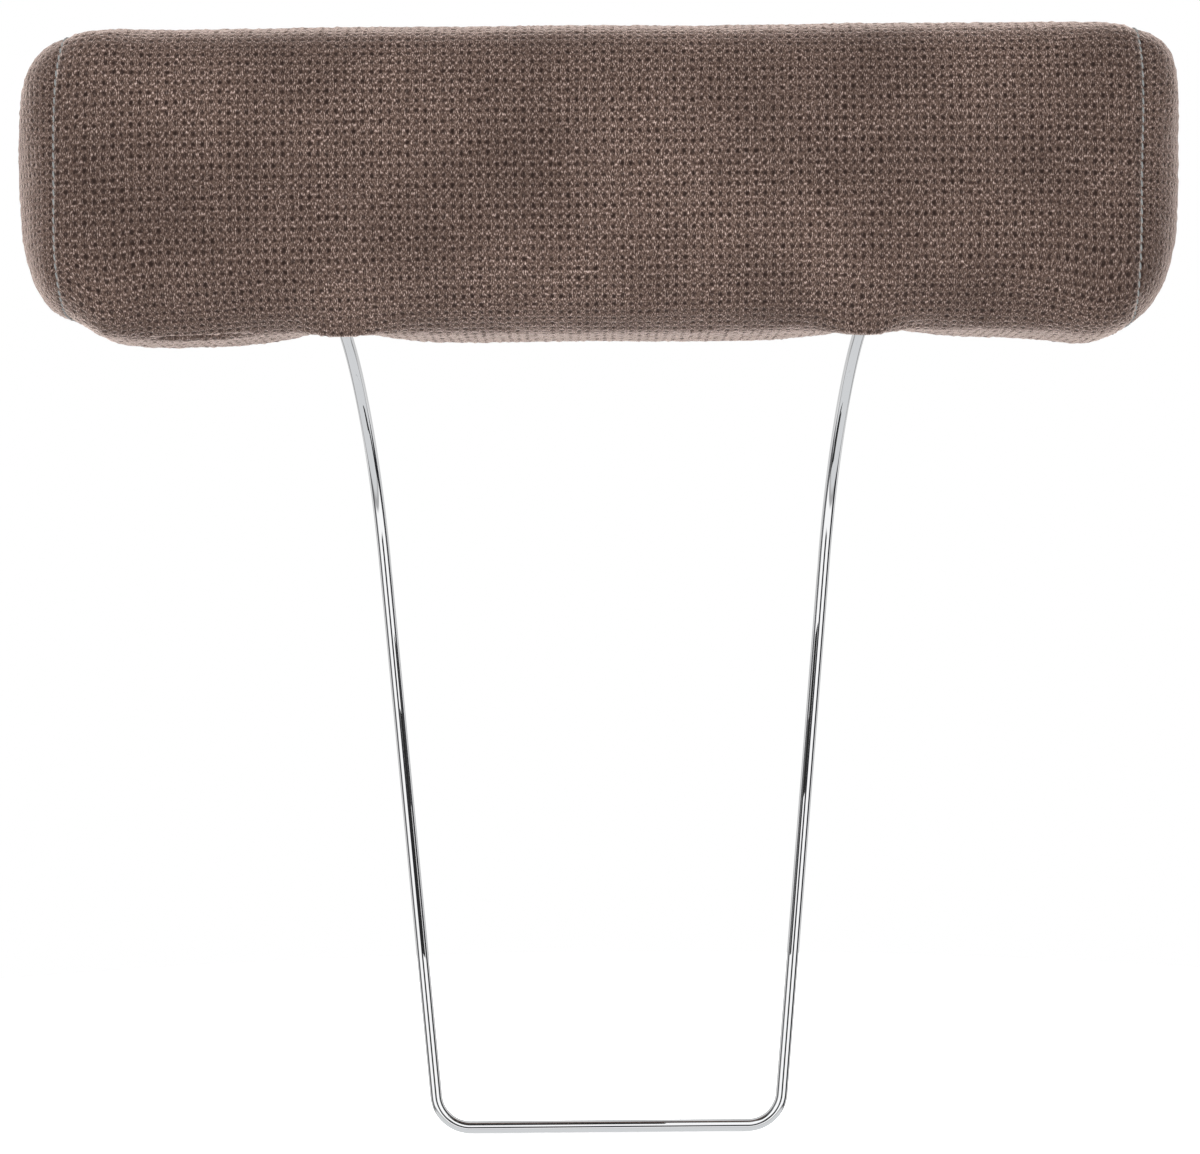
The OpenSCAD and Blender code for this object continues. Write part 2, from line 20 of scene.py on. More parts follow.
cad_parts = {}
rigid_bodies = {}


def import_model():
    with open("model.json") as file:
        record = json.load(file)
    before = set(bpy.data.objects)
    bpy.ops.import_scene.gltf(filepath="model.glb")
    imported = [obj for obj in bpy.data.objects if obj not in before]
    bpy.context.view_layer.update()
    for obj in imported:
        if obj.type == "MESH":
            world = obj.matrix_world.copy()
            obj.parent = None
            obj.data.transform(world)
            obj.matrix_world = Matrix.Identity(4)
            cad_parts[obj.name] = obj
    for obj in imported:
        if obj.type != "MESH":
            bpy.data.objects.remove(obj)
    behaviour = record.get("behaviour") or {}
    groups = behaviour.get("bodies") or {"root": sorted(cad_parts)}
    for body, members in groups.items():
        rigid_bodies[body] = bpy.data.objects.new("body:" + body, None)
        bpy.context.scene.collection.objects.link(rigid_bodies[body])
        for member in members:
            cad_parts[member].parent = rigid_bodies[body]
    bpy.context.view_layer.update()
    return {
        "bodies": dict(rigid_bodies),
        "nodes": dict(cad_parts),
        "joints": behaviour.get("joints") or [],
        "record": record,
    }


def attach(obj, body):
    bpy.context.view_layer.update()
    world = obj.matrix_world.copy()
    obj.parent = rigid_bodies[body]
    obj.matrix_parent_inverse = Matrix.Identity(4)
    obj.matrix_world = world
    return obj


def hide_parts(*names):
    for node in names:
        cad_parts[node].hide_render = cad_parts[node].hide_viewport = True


LOG = logging.getLogger("headrest")
WEAVE_UV = "weave"
# Name of the attribute that holds the painted shade along the fold under the left end.
FOLD_SHADE = "crease"
NOISE_MIDDLE = (0.3, 0.7)
SEWING_REACH = 0.0003
TINY = 1e-9

Colour = tuple[float, float, float, float]
Pair = tuple[float, float]
Triple = tuple[float, float, float]
Socket = bpy.types.NodeSocket
Input = Socket | float | Colour
Inputs = dict[int | str, Input]
Element = bmesh.types.BMVert | bmesh.types.BMEdge | bmesh.types.BMFace


class Side(Enum):
    """Left and right as seen from the front."""

    LEFT = -1
    RIGHT = 1

    @property
    def word(self) -> str:
        """The side's name as the CAD nodes spell it."""
        return self.name.lower()


def srgb(red: float, green: float, blue: float) -> Colour:
    """Turns an eight-bit display colour into linear light.

    Args:
        red: Red from 0 to 255.
        green: Green from 0 to 255.
        blue: Blue from 0 to 255.

    Returns:
        The linear colour with an alpha of 1.
    """
    parts = [c / 255 for c in (red, green, blue)]
    linear = [c / 12.92 if c <= 0.04045 else ((c + 0.055) / 1.055) ** 2.4 for c in parts]
    return (linear[0], linear[1], linear[2], 1.0)


def ease(value: np.ndarray | float) -> np.ndarray | float:
    """Runs smoothly from 0 to 1 while the value goes from 0 to 1."""
    held = np.clip(value, 0.0, 1.0)
    return held * held * (3 - 2 * held)


def bell(offset: np.ndarray, width: float) -> np.ndarray:
    """Gives 1 at an offset of 0, falling to 0 in a bell curve of the given width."""
    return np.exp(-((offset / width) ** 2))


def lengths_along(points: np.ndarray) -> np.ndarray:
    """Gives the length along a line of points up to each of them."""
    steps = np.linalg.norm(np.diff(points, axis=0), axis=1)
    return np.concatenate([[0.0], np.cumsum(steps)])


def per_side(left: float, right: float) -> dict[Side, float]:
    """Makes a dataclass field with one number for each side."""
    return field(default_factory=lambda: {Side.LEFT: left, Side.RIGHT: right})


def at_side(pair: dict[Side, float], x: np.ndarray) -> np.ndarray:
    """Gives the left or the right number at places along the cushion."""
    return np.where(x < 0, pair[Side.LEFT], pair[Side.RIGHT])


class ShaderBench:
    """Adds nodes to one node tree and wires them up.

    Wherever a method takes an input, it may be a plain value or another node's socket.
    """

    def __init__(self, tree: bpy.types.NodeTree) -> None:
        """Takes the tree to work on."""
        self.tree = tree

    def add(self, kind: str, inputs: Inputs | None = None, **settings: object) -> bpy.types.Node:
        """Adds a node.

        Args:
            kind: The node's type name.
            inputs: What goes into its inputs, by their names or numbers.
            **settings: Properties to set on the node.

        Returns:
            The new node.
        """
        node = self.tree.nodes.new(kind)
        for name, value in settings.items():
            setattr(node, name, value)
        self.fill(node, inputs or {})
        return node

    def fill(self, node: bpy.types.Node, inputs: Inputs) -> None:
        """Wires sockets into a node's inputs, or sets the inputs to plain values.

        Args:
            node: The node.
            inputs: What goes into its inputs, by their names or numbers.
        """
        for key, value in inputs.items():
            if isinstance(value, bpy.types.NodeSocket):
                self.tree.links.new(value, node.inputs[key])
            else:
                node.inputs[key].default_value = value

    def place(self) -> Socket:
        """Gives the piece's own coordinate, in metres."""
        return self.add("ShaderNodeTexCoord").outputs["Object"]

    def math(self, operation: str, first: Input, second: Input = 0.0) -> Socket:
        """Gives the result of a math operation, such as MULTIPLY."""
        return self.add("ShaderNodeMath", {0: first, 1: second}, operation=operation).outputs[0]

    def times(self, first: Input, second: Input) -> Socket:
        """Gives the product of two values."""
        return self.math("MULTIPLY", first, second)

    def split(self, vector: Socket) -> list[Socket]:
        """Gives the X, Y and Z of a vector."""
        return list(self.add("ShaderNodeSeparateXYZ", {0: vector}).outputs)

    def stretch(self, vector: Socket, scale: Triple) -> Socket:
        """Scales a coordinate along each axis."""
        return self.add("ShaderNodeMapping", {"Vector": vector, "Scale": scale}).outputs[0]

    def noise(self, vector: Socket, scale: float, detail: float = 2.0, rough: float = 0.5) -> Socket:
        """Gives soft noise, about 0.5 on average."""
        inputs = {"Vector": vector, "Scale": scale, "Detail": detail, "Roughness": rough}
        return self.add("ShaderNodeTexNoise", inputs).outputs["Fac"]

    def wave(self, vector: Socket, axis: str, scale: float, distortion: float = 0.0) -> Socket:
        """Gives straight waves across an axis, from 0 to 1."""
        inputs = {"Vector": vector, "Scale": scale, "Distortion": distortion}
        return self.add("ShaderNodeTexWave", inputs, wave_type="BANDS", bands_direction=axis).outputs["Fac"]

    def span(self, value: Socket, low: float, high: float, to_low: float = 0.0, to_high: float = 1.0) -> Socket:
        """Maps a value from the range low to high to another range, and holds it there."""
        inputs = {"Value": value, "From Min": low, "From Max": high, "To Min": to_low, "To Max": to_high}
        return self.add("ShaderNodeMapRange", inputs).outputs[0]

    def band(self, value: Socket, rise: Pair, fall: Pair) -> Socket:
        """Gives 1 for values between a rise and a fall, and 0 outside them."""
        return self.times(self.span(value, *rise), self.span(value, *fall))

    def blend(self, share: Input, first: Input, second: Input) -> Socket:
        """Mixes a share of a second colour into a first one."""
        return self.add("ShaderNodeMix", {"Factor": share, 6: first, 7: second}, data_type="RGBA").outputs[2]

    def bump(self, height: Socket, strength: float, depth: float) -> Socket:
        """Gives the normal of a bump that is so many metres deep for a height of 1."""
        return self.add("ShaderNodeBump", {"Strength": strength, "Distance": depth, "Height": height}).outputs[0]


@dataclass(frozen=True)
class Finish:
    """A surface finish that makes its material once."""

    name: str
    colour: Colour = (0.5, 0.5, 0.5, 1.0)
    second: Colour = (0.4, 0.4, 0.4, 1.0)
    roughness: float = 0.5
    roughness_swing: float = 0.1
    metallic: float = 0.0
    grain: float = 400.0
    bump_depth: float = 0.0001

    def material(self) -> bpy.types.Material:
        """Gives the finish's material, and makes it if it isn't there yet.

        Returns:
            The material.
        """
        found = bpy.data.materials.get(self.name)
        if found is not None:
            return found
        made = bpy.data.materials.new(self.name)
        made.use_nodes = True
        made.diffuse_color = self.colour
        bench = ShaderBench(made.node_tree)
        bench.fill(made.node_tree.nodes["Principled BSDF"], self.lay(bench))
        return made

    def lay(self, bench: ShaderBench) -> Inputs:
        """Lays the nodes of the surface, here a mottled and finely grained one.

        Args:
            bench: The material's node bench.

        Returns:
            What goes into the Principled shader.
        """
        place = bench.place()
        fine = bench.noise(place, self.grain, 3.0, 0.6)
        return {
            "Base Color": bench.blend(bench.noise(place, self.grain / 8, 3.0), self.colour, self.second),
            "Roughness": self.rough(bench, fine),
            "Metallic": self.metallic,
            "Normal": bench.bump(fine, 0.6, self.bump_depth),
        }

    def rough(self, bench: ShaderBench, value: Socket) -> Socket:
        """Gives a roughness that swings with a noise value."""
        low, high = self.roughness - self.roughness_swing, self.roughness + self.roughness_swing
        return bench.span(value, *NOISE_MIDDLE, low, high)

    def dress(self, piece: bpy.types.Object) -> None:
        """Puts the finish on every material slot of a piece.

        Args:
            piece: A mesh object, new or from the CAD model.
        """
        if not piece.data.materials:
            piece.data.materials.append(None)
        for place in piece.material_slots:
            place.material = self.material()


@dataclass(frozen=True)
class WovenCover(Finish):
    """Coarse taupe upholstery weave with a grid of pits in painted shade, and light yarn flecks.

    The coordinate is the piece's own UV map, counted in weave cells.
    """

    roughness: float = 0.865
    roughness_swing: float = 0.085
    # Darkest tone: the cloth's own colour for the mottling, and painted shade in the pits, the slits and the fold.
    pit: Colour = srgb(34, 22, 18)
    fleck: Colour = srgb(206, 184, 175)
    sheen_tint: Colour = srgb(246, 226, 216)
    cell_x: float = 4.11
    cell_z: float = 5.04
    sway: float = 0.34
    sway_scale: float = 0.16
    pit_half: Pair = (0.275, 0.275)
    pit_least: float = 0.66
    slit_half: Pair = (0.14, 0.26)
    slit_shade_share: float = 0.4
    yarn_stretch: Triple = (1.3, 0.45, 1.0)
    yarn_scale: float = 1.5
    yarn_share: float = 0.8
    fuzz_scale: float = 0.5
    mottle_scale: float = 15.0
    mottle_share: float = 0.34
    fleck_share: float = 0.95
    fold_shade_share: float = 0.85

    def swaying(self, bench: ShaderBench, cells: Socket, in_mm: Socket) -> Socket:
        """Lets the weave's lines sway a little.

        Args:
            bench: The material's node bench.
            cells: The coordinate in weave cells.
            in_mm: The coordinate in millimetres.

        Returns:
            The swaying coordinate, in weave cells.
        """
        inputs = {"Vector": in_mm, "Scale": self.sway_scale, "Detail": 2.0}
        drift = bench.add("ShaderNodeTexNoise", inputs, noise_dimensions="2D").outputs["Color"]
        inputs = {0: drift, 1: (self.sway, self.sway, 0.0), 2: cells}
        return bench.add("ShaderNodeVectorMath", inputs, operation="MULTIPLY_ADD").outputs[0]

    def lay(self, bench: ShaderBench) -> Inputs:
        """Lays the weave: yarn flecks, soft mottling, and painted shade in the pits, in the slits between ribs and
        along the fold under the left end.

        Args:
            bench: The material's node bench.

        Returns:
            What goes into the Principled shader.
        """
        cells = bench.add("ShaderNodeUVMap", uv_map=WEAVE_UV).outputs[0]
        in_mm = bench.stretch(cells, (self.cell_x, self.cell_z, 1.0))
        swaying = self.swaying(bench, cells, in_mm)
        across, along = (bench.math("SUBTRACT", part, self.sway / 2) for part in bench.split(swaying)[:2])
        snapped = bench.add("ShaderNodeVectorMath", {0: swaying}, operation="FLOOR").outputs[0]
        luck = bench.add("ShaderNodeTexWhiteNoise", {"Vector": snapped}, noise_dimensions="2D").outputs["Value"]
        pits = self.spots(bench, across, along, 0.0, *self.pit_half)
        pits = bench.times(pits, bench.span(luck, 0.0, 1.0, self.pit_least, 1.0))
        slits = self.spots(bench, across, along, 0.5, *self.slit_half)
        yarn = bench.noise(bench.stretch(in_mm, self.yarn_stretch), self.yarn_scale, 1.0, 0.55)
        fuzz = bench.noise(in_mm, self.fuzz_scale, 2.0, 0.6)
        mottle = bench.noise(bench.place(), self.mottle_scale, 3.0, 0.55)
        strokes = bench.math("ADD", bench.times(yarn, self.yarn_share), bench.times(fuzz, 1 - self.yarn_share))
        # Painted shade along the fold under the left end, read from the cover's attribute.
        fold = bench.add("ShaderNodeAttribute", attribute_name=FOLD_SHADE).outputs["Fac"]
        body = bench.blend(bench.span(strokes, 0.36, 0.62), self.second, self.colour)
        # Layers: pale yarn flecks and dark mottling are the cloth's own tone; the slits, the pits and the fold get
        # painted shade.
        layers = (
            (bench.span(strokes, 0.55, 0.7, 0.0, self.fleck_share), self.fleck),
            (bench.span(mottle, 0.35, 0.65, self.mottle_share, 0.0), self.pit),
            (bench.times(slits, self.slit_shade_share), self.pit),
            (pits, self.pit),
            (bench.times(fold, self.fold_shade_share), self.pit),
        )
        for share, colour in layers:
            body = bench.blend(share, body, colour)
        raised = bench.math("SUBTRACT", strokes, bench.times(pits, 0.7))
        return {
            "Base Color": body,
            "Roughness": self.rough(bench, strokes),
            "Normal": bench.bump(raised, 0.7, self.bump_depth),
            "Specular IOR Level": 0.2,
            "Sheen Weight": 1.0,
            "Sheen Roughness": 0.3,
            "Sheen Tint": self.sheen_tint,
        }

    @staticmethod
    def spots(bench: ShaderBench, across: Socket, along: Socket, shift: float, wide: float, tall: float) -> Socket:
        """Makes one soft spot in each weave cell.

        Args:
            bench: The material's node bench.
            across: Coordinate across the ribs, in cells.
            along: Coordinate along the ribs, in cells.
            shift: Shift of the spots from the cells' middles.
            wide: Half width of a spot, in cells.
            tall: Half height of a spot, in cells.

        Returns:
            A value of 1 in the middle of a spot, falling to 0 around it.
        """
        squares = []
        for value, size in ((across, wide), (along, tall)):
            part = bench.math("FRACT", bench.math("ADD", value, shift))
            part = bench.math("DIVIDE", bench.math("SUBTRACT", part, 0.5), size)
            squares.append(bench.times(part, part))
        total = bench.math("ADD", *squares)
        return bench.math("EXPONENT", bench.times(bench.times(total, total), -1.0))


@dataclass(frozen=True)
class PlainWeave(Finish):
    """Fine plain-woven cloth for tapes and facings."""

    roughness: float = 0.85
    thread: float = 0.0011

    def lay(self, bench: ShaderBench) -> Inputs:
        """Lays crossing threads.

        Args:
            bench: The material's node bench.

        Returns:
            What goes into the Principled shader.
        """
        place = bench.place()
        woven = bench.math("MAXIMUM", *(bench.wave(place, axis, 0.314 / self.thread, 0.6) for axis in "XZ"))
        return {
            "Base Color": bench.blend(woven, self.second, self.colour),
            "Roughness": self.rough(bench, bench.noise(place, 2500.0)),
            "Normal": bench.bump(woven, 0.5, self.bump_depth),
            "Sheen Weight": 0.2,
        }


@dataclass(frozen=True)
class PlyBoard(Finish):
    """Raw plywood: streaky face veneer, and layers along the board's edges."""

    roughness: float = 0.65

    def lay(self, bench: ShaderBench) -> Inputs:
        """Lays the grain along X and the plies across Y.

        Args:
            bench: The material's node bench.

        Returns:
            What goes into the Principled shader.
        """
        place = bench.place()
        grain = bench.noise(bench.stretch(place, (9.0, 160.0, 160.0)), 1.0, 5.0, 0.6)
        body = bench.blend(bench.span(grain, *NOISE_MIDDLE), self.second, self.colour)
        plies = bench.span(bench.wave(place, "Y", 130.0), 0.7, 1.0, 0.0, 0.35)
        return {
            "Base Color": bench.blend(plies, body, self.second),
            "Roughness": self.rough(bench, grain),
            "Normal": bench.bump(grain, 0.3, self.bump_depth),
        }


@dataclass(frozen=True)
class BrightPlate(Finish):
    """Bright plating with faint drawing marks along the rod."""

    def lay(self, bench: ShaderBench) -> Inputs:
        """Lays mirror plating with very fine marks.

        Args:
            bench: The material's node bench.

        Returns:
            What goes into the Principled shader.
        """
        place = bench.place()
        marks = bench.noise(bench.stretch(place, (1.0, 1.0, 0.06)), 1800.0)
        return {
            "Base Color": bench.blend(bench.noise(place, 45.0, 3.0), self.colour, self.second),
            "Roughness": self.rough(bench, marks),
            "Metallic": 1.0,
        }


COVER = WovenCover("cover_weave", srgb(120, 100, 90), srgb(54, 39, 33), bump_depth=0.0007)
THREAD = Finish("seam_thread", srgb(154, 156, 154), srgb(118, 122, 122), 0.6, 0.1, 0.0, 2600.0, 0.0002)
SLOT_FINISHES: dict[str, Finish] = {
    "chrome_rod": BrightPlate("bow_chrome", srgb(250, 250, 251), srgb(245, 246, 247), 0.04, 0.015),
    "black_plastic": Finish("cap_plastic", srgb(34, 34, 35), srgb(26, 26, 27), 0.55, 0.08, 0.0, 900.0, 0.00005),
    "plywood": PlyBoard("core_plywood", srgb(205, 172, 128), srgb(160, 122, 82), bump_depth=0.0002),
    "grey_plastic": Finish("saddle_plastic", srgb(88, 88, 91), srgb(74, 74, 77), 0.6, 0.1, 0.0, 700.0, 0.00008),
    "nylon": Finish("bush_nylon", srgb(226, 222, 208), srgb(214, 208, 192), 0.4, 0.08, 0.0, 500.0, 0.00004),
    "zinc_steel": Finish("zinc_steel", srgb(205, 207, 210), srgb(176, 180, 178), 0.32, 0.08, 1.0, 900.0, 0.00004),
    "foam": Finish("core_foam", srgb(222, 206, 158), srgb(206, 186, 134), 0.9, 0.05, 0.0, 900.0, 0.0008),
    "fibre_wadding": Finish("fibre_wadding", srgb(238, 238, 234), srgb(222, 222, 216), 0.95, 0.04, 0.0, 260.0, 0.002),
    "cover_fabric": COVER,
    "facing_cloth": PlainWeave("facing_cloth", srgb(84, 70, 64), srgb(58, 47, 43), bump_depth=0.0003),
    "zip_tape": PlainWeave("zip_tape", srgb(88, 73, 66), srgb(60, 48, 43), bump_depth=0.0002, thread=0.0009),
    "zip_plastic": Finish("zip_coil_nylon", srgb(82, 68, 61), srgb(66, 54, 48), 0.38, 0.06, 0.0, 1500.0, 0.00003),
    "zip_metal": Finish("zip_metal", srgb(172, 172, 174), srgb(140, 140, 143), 0.3, 0.08, 1.0, 1100.0, 0.00004),
}


def new_object(name: str, data: bpy.types.ID) -> bpy.types.Object:
    """Puts a mesh, light or camera into the scene as a new object."""
    made = bpy.data.objects.new(name, data)
    bpy.context.scene.collection.objects.link(made)
    return made


def mesh_from(name: str, bm: bmesh.types.BMesh) -> bpy.types.Mesh:
    """Turns a bmesh into a mesh, and frees the bmesh."""
    mesh = bpy.data.meshes.new(name)
    bm.to_mesh(mesh)
    bm.free()
    return mesh


def add_piece(
    name: str, bm: bmesh.types.BMesh, body: str, slot: str | None, node: str | None = None, smooth: bool = True
) -> bpy.types.Object:
    """Turns a bmesh into a finished piece of the object.

    Args:
        name: The piece's name.
        bm: Its mesh, which is freed.
        body: The CAD body that it rides on.
        slot: The record's material slot, or None for the seams' thread.
        node: The CAD node that it stands for, if there is one.
        smooth: Whether its faces are shaded smooth.

    Returns:
        The new object.
    """
    mesh = mesh_from(name, bm)
    mesh.polygons.foreach_set("use_smooth", [smooth] * len(mesh.polygons))
    piece = new_object(name, mesh)
    finish = SLOT_FINISHES[slot] if slot else THREAD
    finish.dress(piece)
    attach(piece, body)
    if node:
        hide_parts(node)
    LOG.info("%s: %d faces on %s", name, len(mesh.polygons), body)
    return piece


def bare_material(name: str) -> tuple[bpy.types.Material, ShaderBench]:
    """Makes a material without any nodes, and the bench to lay them on."""
    made = bpy.data.materials.new(name)
    made.use_nodes = True
    made.node_tree.nodes.clear()
    return made, ShaderBench(made.node_tree)


def thicken(piece: bpy.types.Object, name: str, thickness: float) -> None:
    """Gives a sheet its thickness, inwards from its outer side."""
    wall = piece.modifiers.new(name, "SOLIDIFY")
    wall.thickness, wall.offset = thickness, -1.0


def extruded(bm: bmesh.types.BMesh, edges: list[bmesh.types.BMEdge]) -> list[Element]:
    """Extrudes edges and gives all that was made."""
    return bmesh.ops.extrude_edge_only(bm, edges=edges)["geom"]


def only(kind: type, elements: list[Element]) -> list[Element]:
    """Gives the mesh elements of one kind."""
    return [e for e in elements if isinstance(e, kind)]


def soften(bm: bmesh.types.BMesh, edges: list[bmesh.types.BMEdge], width: float) -> None:
    """Rounds edges in two steps."""
    bmesh.ops.bevel(bm, geom=edges, offset=width, affect="EDGES", segments=2, profile=0.5, material=-1)


def vertex_rows(mesh: bpy.types.Mesh, what: str) -> np.ndarray:
    """Gives a mesh's vertex places (co) or normals (normal) as rows of three."""
    flat = np.zeros(len(mesh.vertices) * 3, np.float32)
    mesh.vertices.foreach_get(what, flat)
    return flat.reshape(-1, 3)


def coords(mesh: bpy.types.Mesh) -> np.ndarray:
    """Gives a mesh's vertex places in full precision."""
    return vertex_rows(mesh, "co").astype(float)


def set_coords(mesh: bpy.types.Mesh, points: np.ndarray) -> None:
    """Moves a mesh's vertices."""
    mesh.vertices.foreach_set("co", points.astype(np.float32).ravel())


def evaluated(piece: bpy.types.Object) -> bpy.types.Mesh:
    """Gives a new mesh of a piece with its modifiers applied."""
    graph = bpy.context.evaluated_depsgraph_get()
    return bpy.data.meshes.new_from_object(piece.evaluated_get(graph))


@dataclass
class CushionForm:
    """Outer form of the cushion: rounded sections that close in towards both ends."""

    reach: dict[Side, float] = per_side(0.2754, 0.2722)
    seam: dict[Side, float] = per_side(0.249, 0.2472)
    half_d: float = 0.063
    half_h: float = 0.0738
    mid_y: float = -0.0597442
    mid_z: float = 0.4582
    zip_z: float = 0.422392
    front_power: float = 4.8
    back_power: float = 6.0
    heel_power: float = 4.0
    back_press: float = 0.004
    end_run: float = 0.046
    depth_corner: float = 0.303
    dome_corner: float = 0.25
    top_corner: dict[Side, float] = per_side(0.17, 0.075)
    under_corner: dict[Side, float] = per_side(0.34, 0.26)
    dome_top: dict[Side, float] = per_side(0.17, 0.1)
    table_size: int = 2880

    def __post_init__(self) -> None:
        """Measures the middle section once, from the zip's line round to it again."""
        low = ((self.mid_z - self.zip_z) / self.half_h) ** (self.heel_power / 2)
        start = -math.asin(low)
        turns = np.linspace(start, start + 2 * math.pi, self.table_size)
        self.turn_table = turns
        self.arc_table = lengths_along(self.place(np.zeros_like(turns), turns, 0.0))
        self.girth = float(self.arc_table[-1])

    def turn_at(self, arc: np.ndarray) -> np.ndarray:
        """Gives the section angle at a length along the middle section from the zip's line."""
        return np.interp(np.mod(arc, self.girth + TINY), self.arc_table, self.turn_table)

    def height(self, turn: np.ndarray) -> np.ndarray:
        """Gives the height in the section, from -1 at the bottom to 1 at the top, at section angles."""
        sin = np.sin(turn)
        power = np.where(np.cos(turn) > 0, self.heel_power, self.front_power)
        return np.sign(sin) * np.abs(sin) ** (2 / power)

    def end_fall(self, x: np.ndarray) -> np.ndarray:
        """Gives 1 along the cushion, falling to 0 at its ends."""
        tip = at_side(self.reach, x)
        run = np.clip((tip - np.abs(x)) / self.end_run, 0.0, 1.0)
        return 1 - (1 - run) ** 2

    def rim(self, side: Side) -> float:
        """Gives the end's fall at one seam."""
        return float(self.end_fall(np.array([side.value * self.seam[side]]))[0])

    def dome(self, side: Side) -> tuple[np.ndarray, np.ndarray]:
        """Measures a line over one end panel from its middle to its seam.

        Args:
            side: Which end.

        Returns:
            Shares of the way out to the seam, and the lengths along the domed panel up to them.
        """
        shares = np.linspace(0.0, 1.0, 400)
        out = self.end_run * np.sqrt(1 - self.rim(side) * shares ** (1 / self.dome_corner))
        steps = np.hypot(np.diff(shares) * self.half_d, np.diff(out))
        return shares, np.concatenate([[0.0], np.cumsum(steps)])

    def corner_at(self, x: np.ndarray, up: np.ndarray) -> np.ndarray:
        """Gives the exponent that rounds an end.

        Args:
            x: Places along the cushion.
            up: Height in the section, from -1 at the bottom to 1 at the top.

        Returns:
            The exponents.
        """
        top, under = at_side(self.top_corner, x), at_side(self.under_corner, x)
        return under + (top - under) * (0.5 + 0.5 * up)

    def place(self, x: np.ndarray, turn: np.ndarray, inset: np.ndarray | float) -> np.ndarray:
        """Gives points on the cushion's form.

        Args:
            x: Places along the cushion.
            turn: Section angles, 0 at the back and a quarter turn at the top.
            inset: Depth of the points below the form.

        Returns:
            The points, as rows of three.
        """
        cos, up = np.cos(turn), self.height(turn)
        fall = self.end_fall(x)
        deep = (self.half_d - inset) * fall**self.depth_corner
        tall = (self.half_h - inset) * fall ** self.corner_at(x, up)
        front = deep * np.abs(cos) ** (2 / self.front_power)
        back = np.minimum(deep, (deep + self.back_press) * np.abs(cos) ** (2 / self.back_power))
        y = np.where(cos > 0, back, -front)
        return np.stack([x, self.mid_y + y, self.mid_z + tall * up], axis=1)


@dataclass(frozen=True)
class Swell:
    """A bell-shaped swell along the cushion."""

    x: float
    wide: float
    high: float = 1.0

    def at(self, x: np.ndarray) -> np.ndarray:
        """Gives the swell's height at places along the cushion."""
        return self.high * bell(x - self.x, self.wide)


